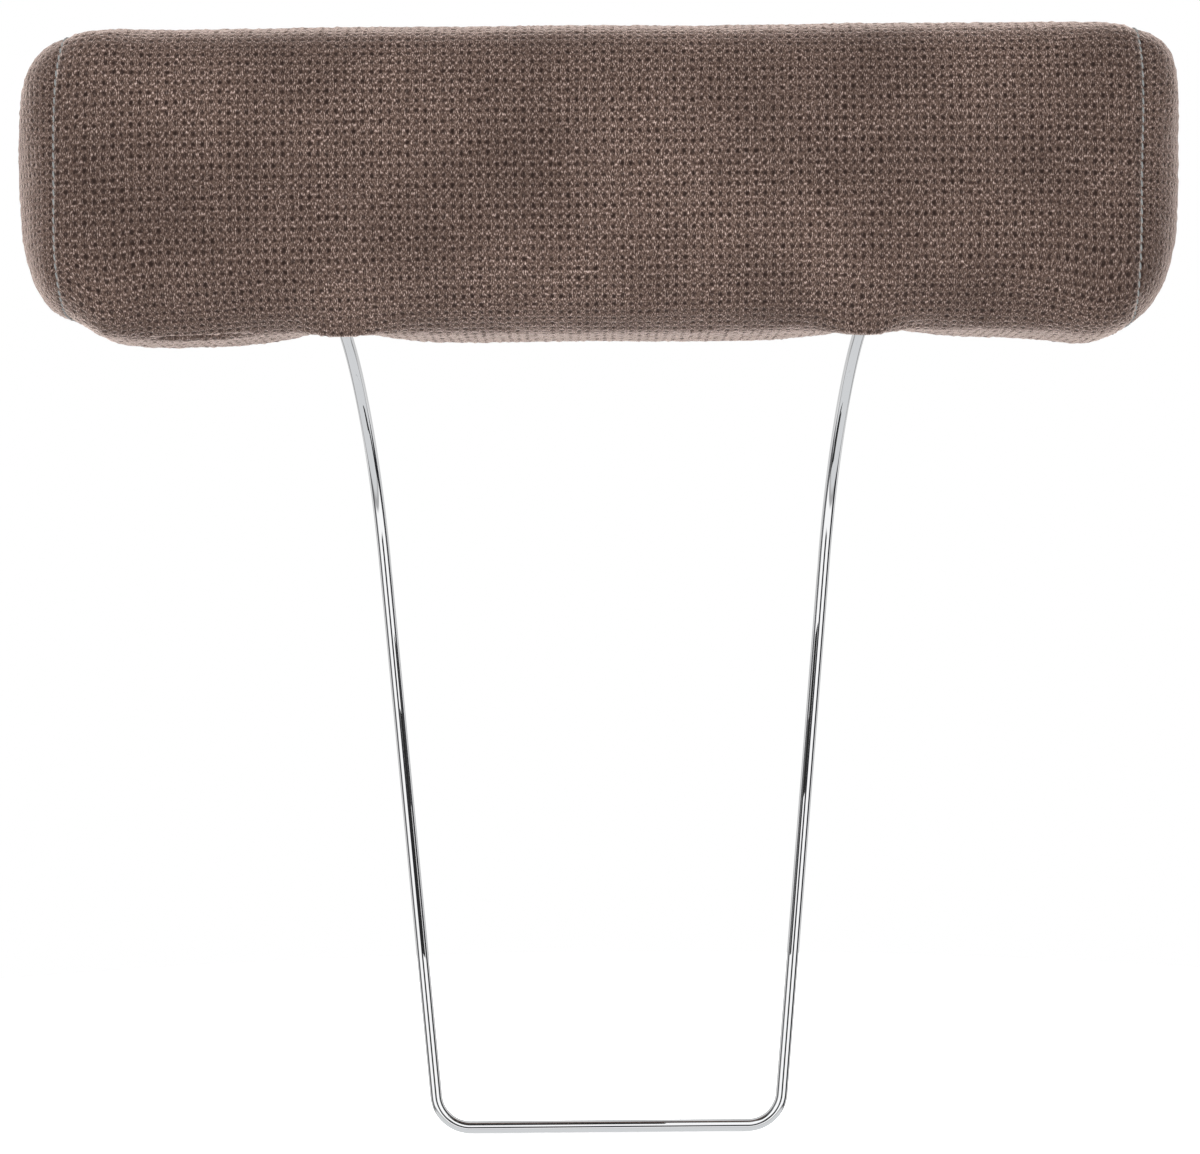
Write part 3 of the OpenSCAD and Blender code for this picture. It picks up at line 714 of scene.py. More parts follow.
@dataclass
class Cover:
    """The cushion's cover: one sheet wrapped into a sleeve and two domed end panels, sewn and puffed up."""

    form: CushionForm
    columns: int = 122
    rows: int = 96
    depth_cells: int = 22
    start_inset: float = 0.0032
    back_fill: float = 0.85
    puff_out: float = 0.0024
    puff_in: float = 0.0024
    seam_draw: float = 0.0007
    lip: float = 0.0046
    lip_inset: float = 0.0002
    tape_reach: float = 0.016
    lip_open: float = 0.214
    lip_closed: float = 0.224
    slit_x: Pair = (0.1139, 0.1281)
    slit_y: Pair = (-0.0945, -0.0545)
    slit_fade: float = 0.012
    back_end: float = 0.24
    back_fade: float = 0.03
    zip_end: float = 0.237
    zip_fade: float = 0.008
    fold_y: float = -0.0875
    fold_x: Pair = (-0.212, -0.158)
    fold_fade: Pair = (0.014, 0.026)
    fold_slope: float = 0.06
    fold_middle: float = -0.19
    fold_lift: float = 0.004
    fold_wide: float = 0.0028
    fold_shade_wide: float = 0.0017
    drops: tuple[Swell, Swell] = (Swell(-0.205, 0.036, 0.0018), Swell(0.236, 0.026, 0.0042))
    rod_rises: tuple[Swell, Swell] = (Swell(-0.126, 0.025), Swell(0.13, 0.03))
    rod_lift: dict[Side, float] = per_side(0.002, 0.0004)
    corner_rise: Swell = Swell(-0.244, 0.0088, 0.0042)
    seam_bow: Pair = (0.0024, 0.0019)
    seam_bow_wide: float = 0.018
    belly: float = 0.0009
    belly_y: float = -0.0985
    belly_wide: float = 0.0125
    belly_end: float = 0.246
    apron: float = 0.0028
    apron_x: float = 0.121
    apron_wide: float = 0.019
    apron_share: dict[Side, float] = per_side(0.25, 0.9)
    sight_slope: float = 0.085
    front_swell: float = 0.0011
    top_swell: float = 0.0009
    swell_scale: float = 13.0
    pit_depth: float = 0.0004
    nap: float = 0.00022
    cloth_t: float = 0.0011
    stitch: float = 0.0042
    stitch_gap: float = 0.0008
    thread_r: float = 0.00042
    thread_out: float = 0.0003
    thread_slant: float = 7.0
    pressure: float = 10.0
    puff_frames: int = 20

    def slit_clear(self, points: np.ndarray) -> np.ndarray:
        """Gives each point's distance to the nearest rod slit, on the underside."""
        x = np.abs(points[:, 0])
        out_x = np.maximum(np.maximum(self.slit_x[0] - x, x - self.slit_x[1]), 0)
        out_y = np.maximum(np.maximum(self.slit_y[0] - points[:, 1], points[:, 1] - self.slit_y[1]), 0)
        above = np.maximum(points[:, 2] - (self.form.mid_z - 0.6 * self.form.half_h), 0)
        return np.hypot(np.hypot(out_x, out_y), above)

    def sleeve_places(self, across: np.ndarray, around: np.ndarray) -> np.ndarray:
        """Wraps the flat sheet round the form, a little inside it.

        Args:
            across: Place along the cushion, from 0 to 1.
            around: Place round the section, from 0 at the zip's upper lip to 1 at its lower lip.

        Returns:
            The points.
        """
        form = self.form
        x = across * form.seam[Side.RIGHT] - (1 - across) * form.seam[Side.LEFT]
        gap = self.lip * (1 - ease((np.abs(x) - self.lip_open) / (self.lip_closed - self.lip_open)))
        turn = form.turn_at(gap + around * (form.girth - 2 * gap) - TINY * (around > 0.999))
        lip_run = np.minimum(around, 1 - around) * form.girth
        slit_run = self.slit_clear(form.place(x, turn, 0.0))
        back = ease((np.cos(turn) - 0.1) / 0.3) * ease((np.sin(turn) + 0.1) / 0.3)
        back = back * ease((self.back_end - np.abs(x)) / self.back_fade)
        inset = self.start_inset * (1 - self.back_fill * back)
        at_zip = ease((self.tape_reach + self.zip_fade - lip_run) / self.zip_fade)
        at_zip = at_zip * ease((self.zip_end - np.abs(x)) / self.zip_fade)
        inset = inset + (self.lip_inset - inset) * at_zip
        inset = inset * (1 - bell(slit_run, self.slit_fade))
        return form.place(x, turn, inset)

    def panel_places(self, a: np.ndarray, b: np.ndarray, side: Side) -> np.ndarray:
        """Domes a flat rectangle out from the seam's ring.

        Args:
            a: Place in depth, from -1 at the front to 1 at the back.
            b: Place in height, from -1 at the bottom to 1 at the top.
            side: Which end.

        Returns:
            The points.
        """
        form = self.form
        wide, tall = self.depth_cells, self.rows // 2 - self.depth_cells
        spread = np.maximum(np.maximum(np.abs(a), np.abs(b)), TINY)
        p, q = a / spread, b / spread
        shares, arcs = form.dome(side)
        reach = np.maximum(np.interp(spread * arcs[-1], arcs, shares), TINY)
        first = round(float(np.interp(math.pi / 4, form.turn_table, form.arc_table)) / form.girth * self.rows)
        on_top, on_front, on_under = q > 1 - 1e-6, p < -1 + 1e-6, q < -1 + 1e-6
        index = np.select(
            [on_top, on_front, on_under],
            [
                first + wide * (1 - p) / 2,
                first + wide + tall * (1 - q) / 2,
                first + wide + tall + wide * (1 + p) / 2,
            ],
            first + 2 * wide + tall + tall * (1 + q) / 2,
        )
        turn = form.turn_at(np.mod(index, self.rows) / self.rows * form.girth)
        ring = form.place(np.full_like(a, side.value * form.seam[side]), turn, self.start_inset)
        middle = np.array([0.0, form.mid_y, form.mid_z + 0.004])
        points = middle + (ring - middle) * reach[:, None]
        share = 0.5 + 0.5 * form.height(turn) * reach
        power = form.under_corner[side] + (form.dome_top[side] - form.under_corner[side]) * share
        fall = form.rim(side) * reach ** (1 / power)
        out = form.reach[side] - form.end_run * (1 - np.sqrt(1 - fall))
        points[:, 0] = side.value * (out - self.start_inset * (1 - reach**6))
        return points

    def sewn(self) -> bmesh.types.BMesh:
        """Cuts the three sheets, wraps them and sews them together.

        Returns:
            The sewn mesh, with the weave's UV map, a pin mark on its hems, and the sheets told apart by material
            index.
        """
        bm = bmesh.new()
        weave = bm.loops.layers.uv.new(WEAVE_UV)
        pinned = bm.verts.layers.int.new("pinned")
        cuts = [(0, self.columns, self.rows, None)]
        tall = self.rows // 2 - self.depth_cells
        cuts += [(1, self.depth_cells, tall, Side.LEFT), (2, self.depth_cells, tall, Side.RIGHT)]
        for part, wide, high, side in cuts:
            made = bmesh.ops.create_grid(bm, x_segments=wide, y_segments=high, size=0.5)["verts"]
            flat = np.array([(v.co.x + 0.5, v.co.y + 0.5) for v in made])
            over, up = (wide, high) if side is None else self.panel_cells(side)
            cell = {v: ((f[0] - 0.5) * over, (f[1] - 0.5) * up + 300 * part) for v, f in zip(made, flat)}
            for face in {f for v in made for f in v.link_faces}:
                face.material_index = part
                for loop in face.loops:
                    loop[weave].uv = cell[loop.vert]
            if side is None:
                points = self.sleeve_places(flat[:, 0], flat[:, 1])
            else:
                points = self.panel_places(2 * flat[:, 0] - 1, 2 * flat[:, 1] - 1, side)
            for vert, point in zip(made, points):
                vert.co = point
        inside = [f for f in bm.faces if f.material_index == 0 and self.in_slit(f.calc_center_median())]
        bmesh.ops.delete(bm, geom=inside, context="FACES")
        bmesh.ops.remove_doubles(bm, verts=bm.verts, dist=SEWING_REACH)
        for vert in bm.verts:
            by_zip = vert.co.y > self.form.mid_y and abs(vert.co.z - self.form.zip_z) < self.tape_reach
            vert[pinned] = int(vert.is_boundary or (by_zip and abs(vert.co.x) < self.lip_closed + 0.005))
        bmesh.ops.recalc_face_normals(bm, faces=bm.faces)
        return bm

    def panel_cells(self, side: Side) -> tuple[float, float]:
        """Counts the weave cells in depth and height over one domed end panel."""
        half = float(self.form.dome(side)[1][-1]) * 1000
        taller = (self.form.half_h - self.form.half_d) * 1000
        return 2 * half / COVER.cell_x, 2 * (half + taller) / COVER.cell_z

    def in_slit(self, point: Vector) -> bool:
        """Tells whether a point of the underside lies in a rod slit."""
        low, high = self.slit_x
        front, back = self.slit_y
        under = point.z < self.form.mid_z - 0.5 * self.form.half_h
        return under and low < abs(point.x) < high and front < point.y < back

    def blown(self, mesh: bpy.types.Mesh, pins: list[int]) -> np.ndarray:
        """Blows the sewn cover up by cloth simulation.

        Args:
            mesh: The sewn cover.
            pins: Its vertices that stay in place.

        Returns:
            The places of its vertices at the end.
        """
        scene = bpy.context.scene
        trial = new_object("cover_puff", mesh)
        group = trial.vertex_groups.new(name="seams")
        group.add(pins, 1.0, "REPLACE")
        cloth = trial.modifiers.new("cloth", "CLOTH")
        cloth.settings.quality = 5
        cloth.settings.mass = 0.05
        cloth.settings.use_pressure = True
        cloth.settings.uniform_pressure_force = self.pressure
        cloth.settings.vertex_group_mass = group.name
        cloth.settings.pin_stiffness = 1.0
        cloth.settings.effector_weights.gravity = 0.0
        for holder in (cloth.point_cache, scene):
            holder.frame_start, holder.frame_end = 1, self.puff_frames
        for step in range(1, self.puff_frames + 1):
            scene.frame_set(step)
        swollen = evaluated(trial)
        moved = coords(swollen)
        bpy.data.meshes.remove(swollen)
        scene.frame_set(1)
        bpy.data.objects.remove(trial)
        return moved

    def puff(self, bm: bmesh.types.BMesh) -> None:
        """Puffs the sewn cover up, smooths it and draws its seams in.

        Args:
            bm: The sewn mesh, changed in place.
        """
        bm.verts.ensure_lookup_table()
        pinned = bm.verts.layers.int["pinned"]
        pins = [v.index for v in bm.verts if v[pinned]]
        mesh = bpy.data.meshes.new("cover_puff")
        bm.to_mesh(mesh)
        start, normals = coords(mesh), vertex_rows(mesh, "normal")
        moved = self.blown(mesh, pins)
        bpy.data.meshes.remove(mesh)
        shift = moved - start
        outward = np.einsum("ij,ij->i", shift, normals)
        cap = np.where(outward > 0, self.puff_out, self.puff_in)
        length = np.maximum(np.linalg.norm(shift, axis=1), TINY)
        LOG.info("cover puffed by %.1f mm on average, %.1f mm at most", length.mean() * 1000, length.max() * 1000)
        settled = start + shift * np.minimum(1.0, cap / length)[:, None]
        for vert, point in zip(bm.verts, settled):
            vert.co = point
        loose = [v for v in bm.verts if not v[pinned]]
        for _ in range(3):
            bmesh.ops.smooth_vert(bm, verts=loose, factor=0.5, use_axis_x=True, use_axis_y=True, use_axis_z=True)
        bm.normal_update()
        for side in Side:
            ring = self.seam_ring(bm, side)
            places = np.array([v.co - v.normal * self.seam_draw for v in ring])
            for _ in range(8):
                places = (np.roll(places, 1, axis=0) + 2 * places + np.roll(places, -1, axis=0)) / 4
            for vert, place in zip(ring, places):
                vert.co.x = place[0]
                vert.co.yz = (vert.co - vert.normal * self.seam_draw).yz

    def seam_ring(self, sewn: bmesh.types.BMesh, side: Side) -> list[bmesh.types.BMVert]:
        """Gives one end seam's vertices in their order round the section.

        Args:
            sewn: The sewn cover.
            side: Which end.

        Returns:
            The vertices.
        """
        seam = [v for v in sewn.verts if len({f.material_index for f in v.link_faces}) > 1 and v.co.x * side.value > 0]
        return sorted(seam, key=lambda v: math.atan2(v.co.z - self.form.mid_z, v.co.y - self.form.mid_y))

    def crease(self, points: np.ndarray, wide: float) -> np.ndarray:
        """Gives 1 along the short fold under the left end, falling to 0 beside it.

        Args:
            points: Points of the cover.
            wide: Half width of the fold.

        Returns:
            One value for each point.
        """
        x, y, z = points.T
        (start, end), (fade_in, fade_out) = self.fold_x, self.fold_fade
        run = ease((x - start) / fade_in) * ease((end - x) / fade_out)
        under = ease((self.form.mid_z - 0.6 * self.form.half_h - z) / 0.004)
        return run * under * bell(y - self.fold_y - self.fold_slope * (x - self.fold_middle), wide)

    def sag(self, points: np.ndarray) -> np.ndarray:
        """Gives the slack shape of the worn-in cover: lobes, one fold and soft swells.

        Args:
            points: Points of the puffed cover.

        Returns:
            How far each point moves.
        """
        form = self.form
        x, y, z = points.T
        under = ease((form.mid_z - 0.45 * form.half_h - z) / (0.35 * form.half_h))
        drop = sum(swell.at(x) for swell in self.drops)
        by_rod = sum(swell.at(x) for swell in self.rod_rises)
        along = ease((self.belly_end - np.abs(x)) / 0.03)
        hem = bell(np.abs(x) - self.apron_x, self.apron_wide) * at_side(self.apron_share, x)
        belly = (self.belly * along + self.apron * hem) * bell(y - self.belly_y, self.belly_wide)
        lifted = form.mid_z - form.half_h + at_side(self.rod_lift, x) + self.sight_slope * (y - self.belly_y)
        rise = by_rod * np.maximum(lifted - z, 0.0) * ease((y - self.belly_y - 0.004) / 0.008)
        move = np.zeros_like(points)
        move[:, 2] += under * (rise - drop * (1 - 0.8 * by_rod) - belly)
        move[:, 2] += under * self.fold_lift * self.crease(points, self.fold_wide)
        move[:, 2] += under * self.corner_rise.at(x)
        height = np.clip((z - form.mid_z) / form.half_h, -1.0, 1.0)
        square, slope = self.seam_bow
        bow = square * height**2 + slope * height - square
        move[:, 0] += bow * bell(x + form.seam[Side.LEFT], self.seam_bow_wide)
        front = ease((form.mid_y - 0.3 * form.half_d - y) / (0.5 * form.half_d))
        top = ease((z - form.mid_z - 0.5 * form.half_h) / (0.4 * form.half_h))
        swell = np.array([noise.noise(Vector(p) * self.swell_scale) for p in points])
        move[:, 1] += self.front_swell * swell * front
        move[:, 2] += self.top_swell * swell * (top - under)
        return move

    def finished_sheet(self, sewn: bmesh.types.BMesh, part: int, name: str) -> bpy.types.Object:
        """Takes one sheet off the sewn cover, smooths it, presses the weave's pits into it and stores the painted
        shade along its fold.

        Args:
            sewn: The puffed cover.
            part: The sheet's material index.
            name: The CAD node that the sheet stands for.

        Returns:
            The finished piece.
        """
        bm = sewn.copy()
        others = [f for f in bm.faces if f.material_index != part]
        bmesh.ops.delete(bm, geom=others, context="FACES")
        for face in bm.faces:
            face.material_index = 0
        rough = mesh_from(name + "_rough", bm)
        trial = new_object(name + "_rough", rough)
        finer = trial.modifiers.new("finer", "SUBSURF")
        finer.levels = finer.render_levels = 1
        mesh = evaluated(trial)
        bpy.data.objects.remove(trial)
        bpy.data.meshes.remove(rough)
        points = coords(mesh)
        points += self.sag(points)
        set_coords(mesh, points)
        mesh.update()
        corner = np.zeros(len(mesh.loops), np.int32)
        mesh.loops.foreach_get("vertex_index", corner)
        flat = np.zeros(len(mesh.loops) * 2, np.float32)
        mesh.uv_layers[WEAVE_UV].data.foreach_get("uv", flat)
        cells = np.zeros((len(points), 2))
        cells[corner] = flat.reshape(-1, 2)
        off = np.abs(cells - np.floor(cells) - 0.5)
        pit = np.exp(-((off[:, 0] / 0.3) ** 2) - (off[:, 1] / 0.3) ** 2) * (part == 0)
        loose = np.random.default_rng(part + 3).normal(size=len(points)).clip(-2, 2) * self.free(mesh)
        points += vertex_rows(mesh, "normal") * (self.nap * loose - self.pit_depth * pit)[:, None]
        # Painted shade along the fold under the left end, for the weave's colour.
        shade = mesh.attributes.new(FOLD_SHADE, "FLOAT", "POINT")
        shade.data.foreach_set("value", self.crease(points, self.fold_shade_wide).astype(np.float32))
        set_coords(mesh, points)
        shaped = bmesh.new()
        shaped.from_mesh(mesh)
        bpy.data.meshes.remove(mesh)
        piece = add_piece(name + "_cloth", shaped, "cushion", "cover_fabric", name)
        thicken(piece, "cloth_thickness", self.cloth_t)
        return piece

    @staticmethod
    def free(mesh: bpy.types.Mesh) -> np.ndarray:
        """Gives 0 for each vertex on a mesh's open edges and 1 for all others."""
        used = np.zeros(len(mesh.loops), np.int32)
        mesh.loops.foreach_get("edge_index", used)
        ends = np.zeros(len(mesh.edges) * 2, np.int32)
        mesh.edges.foreach_get("vertices", ends)
        hems = np.bincount(used, minlength=len(mesh.edges)) == 1
        inner = np.ones(len(mesh.vertices))
        inner[ends.reshape(-1, 2)[hems].ravel()] = 0
        return inner

    def stitches(self, sewn: bmesh.types.BMesh, side: Side) -> bpy.types.Object:
        """Sews one end seam with pale thread.

        Args:
            sewn: The puffed cover.
            side: Which end.

        Returns:
            The row of stitches.
        """
        form = self.form
        ring = np.array([v.co for v in self.seam_ring(sewn, side)])
        ring += self.sag(ring)
        ring = (np.roll(ring, 1, axis=0) + 4 * ring + np.roll(ring, -1, axis=0)) / 6
        loop = np.vstack([ring, ring[:1]])
        arc = lengths_along(loop)
        count = round(arc[-1] / self.stitch)
        half = (arc[-1] / count - self.stitch_gap) / 2
        size = Matrix.Diagonal((self.thread_r, self.thread_r, half, 1.0))
        bm = bmesh.new()
        middle = np.array([side.value * form.seam[side], form.mid_y, form.mid_z])
        for step in range(count):
            centre = (step + 0.5) * arc[-1] / count
            spots = [(centre + ahead) % arc[-1] for ahead in (0.0, 0.001)]
            at, ahead = (np.array([np.interp(s, arc, loop[:, k]) for k in range(3)]) for s in spots)
            along = Vector(ahead - at).normalized()
            out = Vector(at - middle).normalized()
            out = (out - along * out.dot(along)).normalized()
            slant = Matrix.Rotation(math.radians(self.thread_slant), 3, out)
            frame = Matrix((slant @ along.cross(out), out, slant @ along)).transposed().to_4x4()
            frame.translation = Vector(at) + out * self.thread_out
            bmesh.ops.create_uvsphere(bm, u_segments=8, v_segments=6, radius=1.0, matrix=frame @ size)
        return add_piece(f"{side.word}_seam_stitches", bm, "cushion", None)

    def build(self) -> bmesh.types.BMesh:
        """Cuts, sews, puffs and finishes the whole cover.

        Returns:
            The puffed cover before its finish, for what lies under it.
        """
        sewn = self.sewn()
        self.puff(sewn)
        for part, name in enumerate(("cover_sleeve", "left_end_panel", "right_end_panel")):
            self.finished_sheet(sewn, part, name)
        for side in Side:
            self.stitches(sewn, side)
        return sewn


@dataclass
class Filling:
    """What lies under the cover: wadding all round, two foam blocks and the facings of the rod slits."""

    cover: Cover
    wadding_in: float = 0.0029
    wadding_t: float = 0.0062
    slit_room: float = 0.006
    foam_in: float = 0.0098
    facing_in: float = 0.0014
    facing_t: float = 0.0009
    facing_x: Pair = (0.1074, 0.1364)
    facing_y: Pair = (-0.1066, -0.0341)
    facing_up: float = 0.018
    facing_clear: float = 0.0011
    rim_room: Pair = (0.004, 0.008)

    def lining(self, sewn: bmesh.types.BMesh) -> bmesh.types.BMesh:
        """Copies the sewn cover with its slack shape and with the zip's slot drawn shut.

        Args:
            sewn: The puffed cover.

        Returns:
            The copy.
        """
        form = self.cover.form
        bm = sewn.copy()
        for vert in bm.verts:
            if vert.is_boundary and vert.co.y > form.mid_y + 0.5 * form.half_d:
                vert.co.z = form.zip_z
        bmesh.ops.remove_doubles(bm, verts=bm.verts, dist=SEWING_REACH)
        move = self.cover.sag(np.array([v.co for v in bm.verts]))
        for vert, shift in zip(bm.verts, move):
            vert.co += Vector(shift)
        for face in bm.faces:
            face.material_index = 0
        bm.normal_update()
        return bm

    @staticmethod
    def sunk(bm: bmesh.types.BMesh, depth: float) -> bmesh.types.BMesh:
        """Sinks a copied cover along its normals.

        Args:
            bm: The copy, changed in place.
            depth: How far it sinks.

        Returns:
            The same copy.
        """
        places = [v.co - v.normal * depth for v in bm.verts]
        for vert, place in zip(bm.verts, places):
            vert.co = place
        bm.normal_update()
        return bm

    def wadding(self, lining: bmesh.types.BMesh) -> None:
        """Lays the fibre wadding just under the cover.

        Args:
            lining: The copied cover.
        """
        bm = self.sunk(lining.copy(), self.wadding_in)
        clear = self.cover.slit_clear(np.array([f.calc_center_median() for f in bm.faces]))
        gone = [f for f, run in zip(bm.faces, clear) if run < self.slit_room]
        bmesh.ops.delete(bm, geom=gone, context="FACES")
        piece = add_piece("wadding_wrap", bm, "cushion", "fibre_wadding", "wadding")
        thicken(piece, "loft", self.wadding_t)

    def foam(self, node: bpy.types.Object, lining: bmesh.types.BMesh) -> None:
        """Fits a foam block under the wadding.

        Args:
            node: The block's CAD node.
            lining: The copied cover.
        """
        skin = BVHTree.FromBMesh(lining)
        bm = bmesh.new()
        bm.from_mesh(node.data)
        bmesh.ops.remove_doubles(bm, verts=bm.verts, dist=0.00002)
        for length in (0.06, 0.03, 0.015):
            long_edges = [e for e in bm.edges if e.calc_length() > length]
            bmesh.ops.subdivide_edges(bm, edges=long_edges, cuts=1)
            bmesh.ops.triangulate(bm, faces=[f for f in bm.faces if len(f.verts) > 3])
        for vert in bm.verts:
            near, normal, _, _ = skin.find_nearest(vert.co)
            if (vert.co - near).dot(normal) > -self.foam_in:
                vert.co = near - normal * self.foam_in
        bmesh.ops.recalc_face_normals(bm, faces=bm.faces)
        piece = add_piece(node.name + "_block", bm, "cushion", "foam", node.name, False)

    def facing(self, lining: bmesh.types.BMesh, side: Side) -> None:
        """Lines the cover round one rod slit with plain cloth.

        Args:
            lining: The copied cover.
            side: Which slit.
        """
        bm = lining.copy()
        (near, far), (front, back) = self.facing_x, self.facing_y
        gone = []
        for face in bm.faces:
            at = face.calc_center_median()
            kept = near < side.value * at.x < far and front < at.y < back
            if not kept or at.z > self.cover.form.mid_z - 0.5 * self.cover.form.half_h:
                gone.append(face)
        self.sunk(bm, self.facing_in)
        bmesh.ops.delete(bm, geom=gone, context="FACES")
        (x_low, x_high), (y_low, y_high) = self.cover.slit_x, self.cover.slit_y
        hole = Vector((side.value * (x_low + x_high) / 2, (y_low + y_high) / 2, 0.0))
        half = Vector((x_high - x_low, y_high - y_low, 0.0)) / 2
        reach = [half[k] + self.rim_room[k] for k in (0, 1)]
        rim = [
            e
            for e in bm.edges
            if e.is_boundary and all(abs(v.co[k] - hole[k]) < reach[k] for v in e.verts for k in (0, 1))
        ]
        wall = set(only(bmesh.types.BMVert, extruded(bm, rim)))
        shrink = (1 - self.facing_clear / half.x, 1 - self.facing_clear / half.y, 1.0)
        bmesh.ops.scale(bm, verts=list(wall), vec=shrink, space=Matrix.Translation(-hole))
        top = [e for e in bm.edges if e.is_boundary and wall.issuperset(e.verts)]
        lip = only(bmesh.types.BMVert, extruded(bm, top))
        bmesh.ops.translate(bm, verts=lip, vec=(0.0, 0.0, self.facing_up))
        name = f"{side.word}_slit_facing"
        piece = add_piece(name + "_cloth", bm, "cushion", "facing_cloth", name)
        thicken(piece, "cloth_thickness", self.facing_t)

    def build(self, sewn: bmesh.types.BMesh, nodes: dict) -> None:
        """Makes everything under the cover.

        Args:
            sewn: The puffed cover.
            nodes: The CAD nodes by name.
        """
        lining = self.lining(sewn)
        self.wadding(lining)
        for name in ("front_foam", "rear_foam"):
            self.foam(nodes[name], lining)
        for side in Side:
            self.facing(lining, side)
        lining.free()


@dataclass
class WireBow:
    """The bright wire bow, bent from one round rod: bar, legs, forward bends, cranks and hinge pins."""

    rod_r: float = 0.003
    bar_half: float = 0.084
    corner_r: float = 0.017
    leg_l: float = 0.28
    splay: float = 5.0
    bend_r: float = 0.12
    bend_angle: float = 62.0
    lean_l: float = 0.002
    crank_r: float = 0.03
    neck_l: float = 0.008
    turn_r: float = 0.012
    pin_l: float = 0.06
    around: int = 40
    end_edge: float = 0.0004
    step_angle: float = 1.5

    def corners(self) -> list[tuple[Vector, float]]:
        """Gives the corners of the rod's right half with their bend radii, up to the tip of its pin."""
        splay, bend = math.radians(self.splay), math.radians(self.bend_angle)
        leg = Vector((math.sin(splay), 0.0, math.cos(splay)))
        lean = Vector((math.sin(splay), -math.cos(splay) * math.sin(bend), math.cos(splay) * math.cos(bend)))
        rise, out = Vector((0.0, 0.0, 1.0)), Vector((1.0, 0.0, 0.0))
        bend_run = self.bend_r * math.tan(leg.angle(lean) / 2)
        crank_run = self.crank_r * math.tan(lean.angle(rise) / 2)
        bar = Vector((self.bar_half, 0.0, 0.0))
        knee = bar + leg * (self.leg_l + bend_run)
        crank = knee + lean * (bend_run + self.lean_l + crank_run)
        neck = crank + rise * (crank_run + self.neck_l + self.turn_r)
        tip = neck + out * (self.turn_r + self.pin_l)
        radii = (self.corner_r, self.bend_r, self.crank_r, self.turn_r, 0.0)
        return list(zip((bar, knee, crank, neck, tip), radii))

    def build(self) -> None:
        """Bends the right half from its middle outwards and mirrors it."""
        bm = bmesh.new()
        upright = Matrix.Rotation(math.radians(90), 4, "Y")
        bmesh.ops.create_circle(bm, segments=self.around, radius=self.rod_r, matrix=upright)
        edges = list(bm.edges)
        at = Vector((0.0, 0.0, 0.0))
        corners = self.corners()
        for step, (corner, radius) in enumerate(corners):
            way = (corner - at).normalized()
            run, turn, onward = 0.0, 0.0, way
            if radius:
                onward = (corners[step + 1][0] - corner).normalized()
                turn = way.angle(onward)
                run = radius * math.tan(turn / 2)
            made = extruded(bm, edges)
            bmesh.ops.translate(bm, verts=only(bmesh.types.BMVert, made), vec=corner - way * run - at)
            edges = [e for e in only(bmesh.types.BMEdge, made) if e.is_boundary]
            if not radius:
                break
            inward = (onward - way * onward.dot(way)).normalized()
            spun = bmesh.ops.spin(
                bm,
                geom=edges,
                cent=corner - way * run + inward * radius,
                axis=way.cross(onward).normalized(),
                angle=turn,
                steps=max(10, round(math.degrees(turn) / self.step_angle)),
            )["geom_last"]
            edges = only(bmesh.types.BMEdge, spun)
            at = corner + onward * run
        bmesh.ops.edgeloop_fill(bm, edges=edges)
        bmesh.ops.remove_doubles(bm, verts=bm.verts, dist=0.000001)
        bmesh.ops.mirror(bm, geom=bm.verts[:] + bm.edges[:] + bm.faces[:], merge_dist=0.00001, axis="X")
        bmesh.ops.recalc_face_normals(bm, faces=bm.faces)
        soften(bm, [e for e in bm.edges if e.calc_face_angle(0.0) > 1.0], self.end_edge)
        add_piece("wire_bow_rod", bm, "bow", "chrome_rod", "wire_bow")


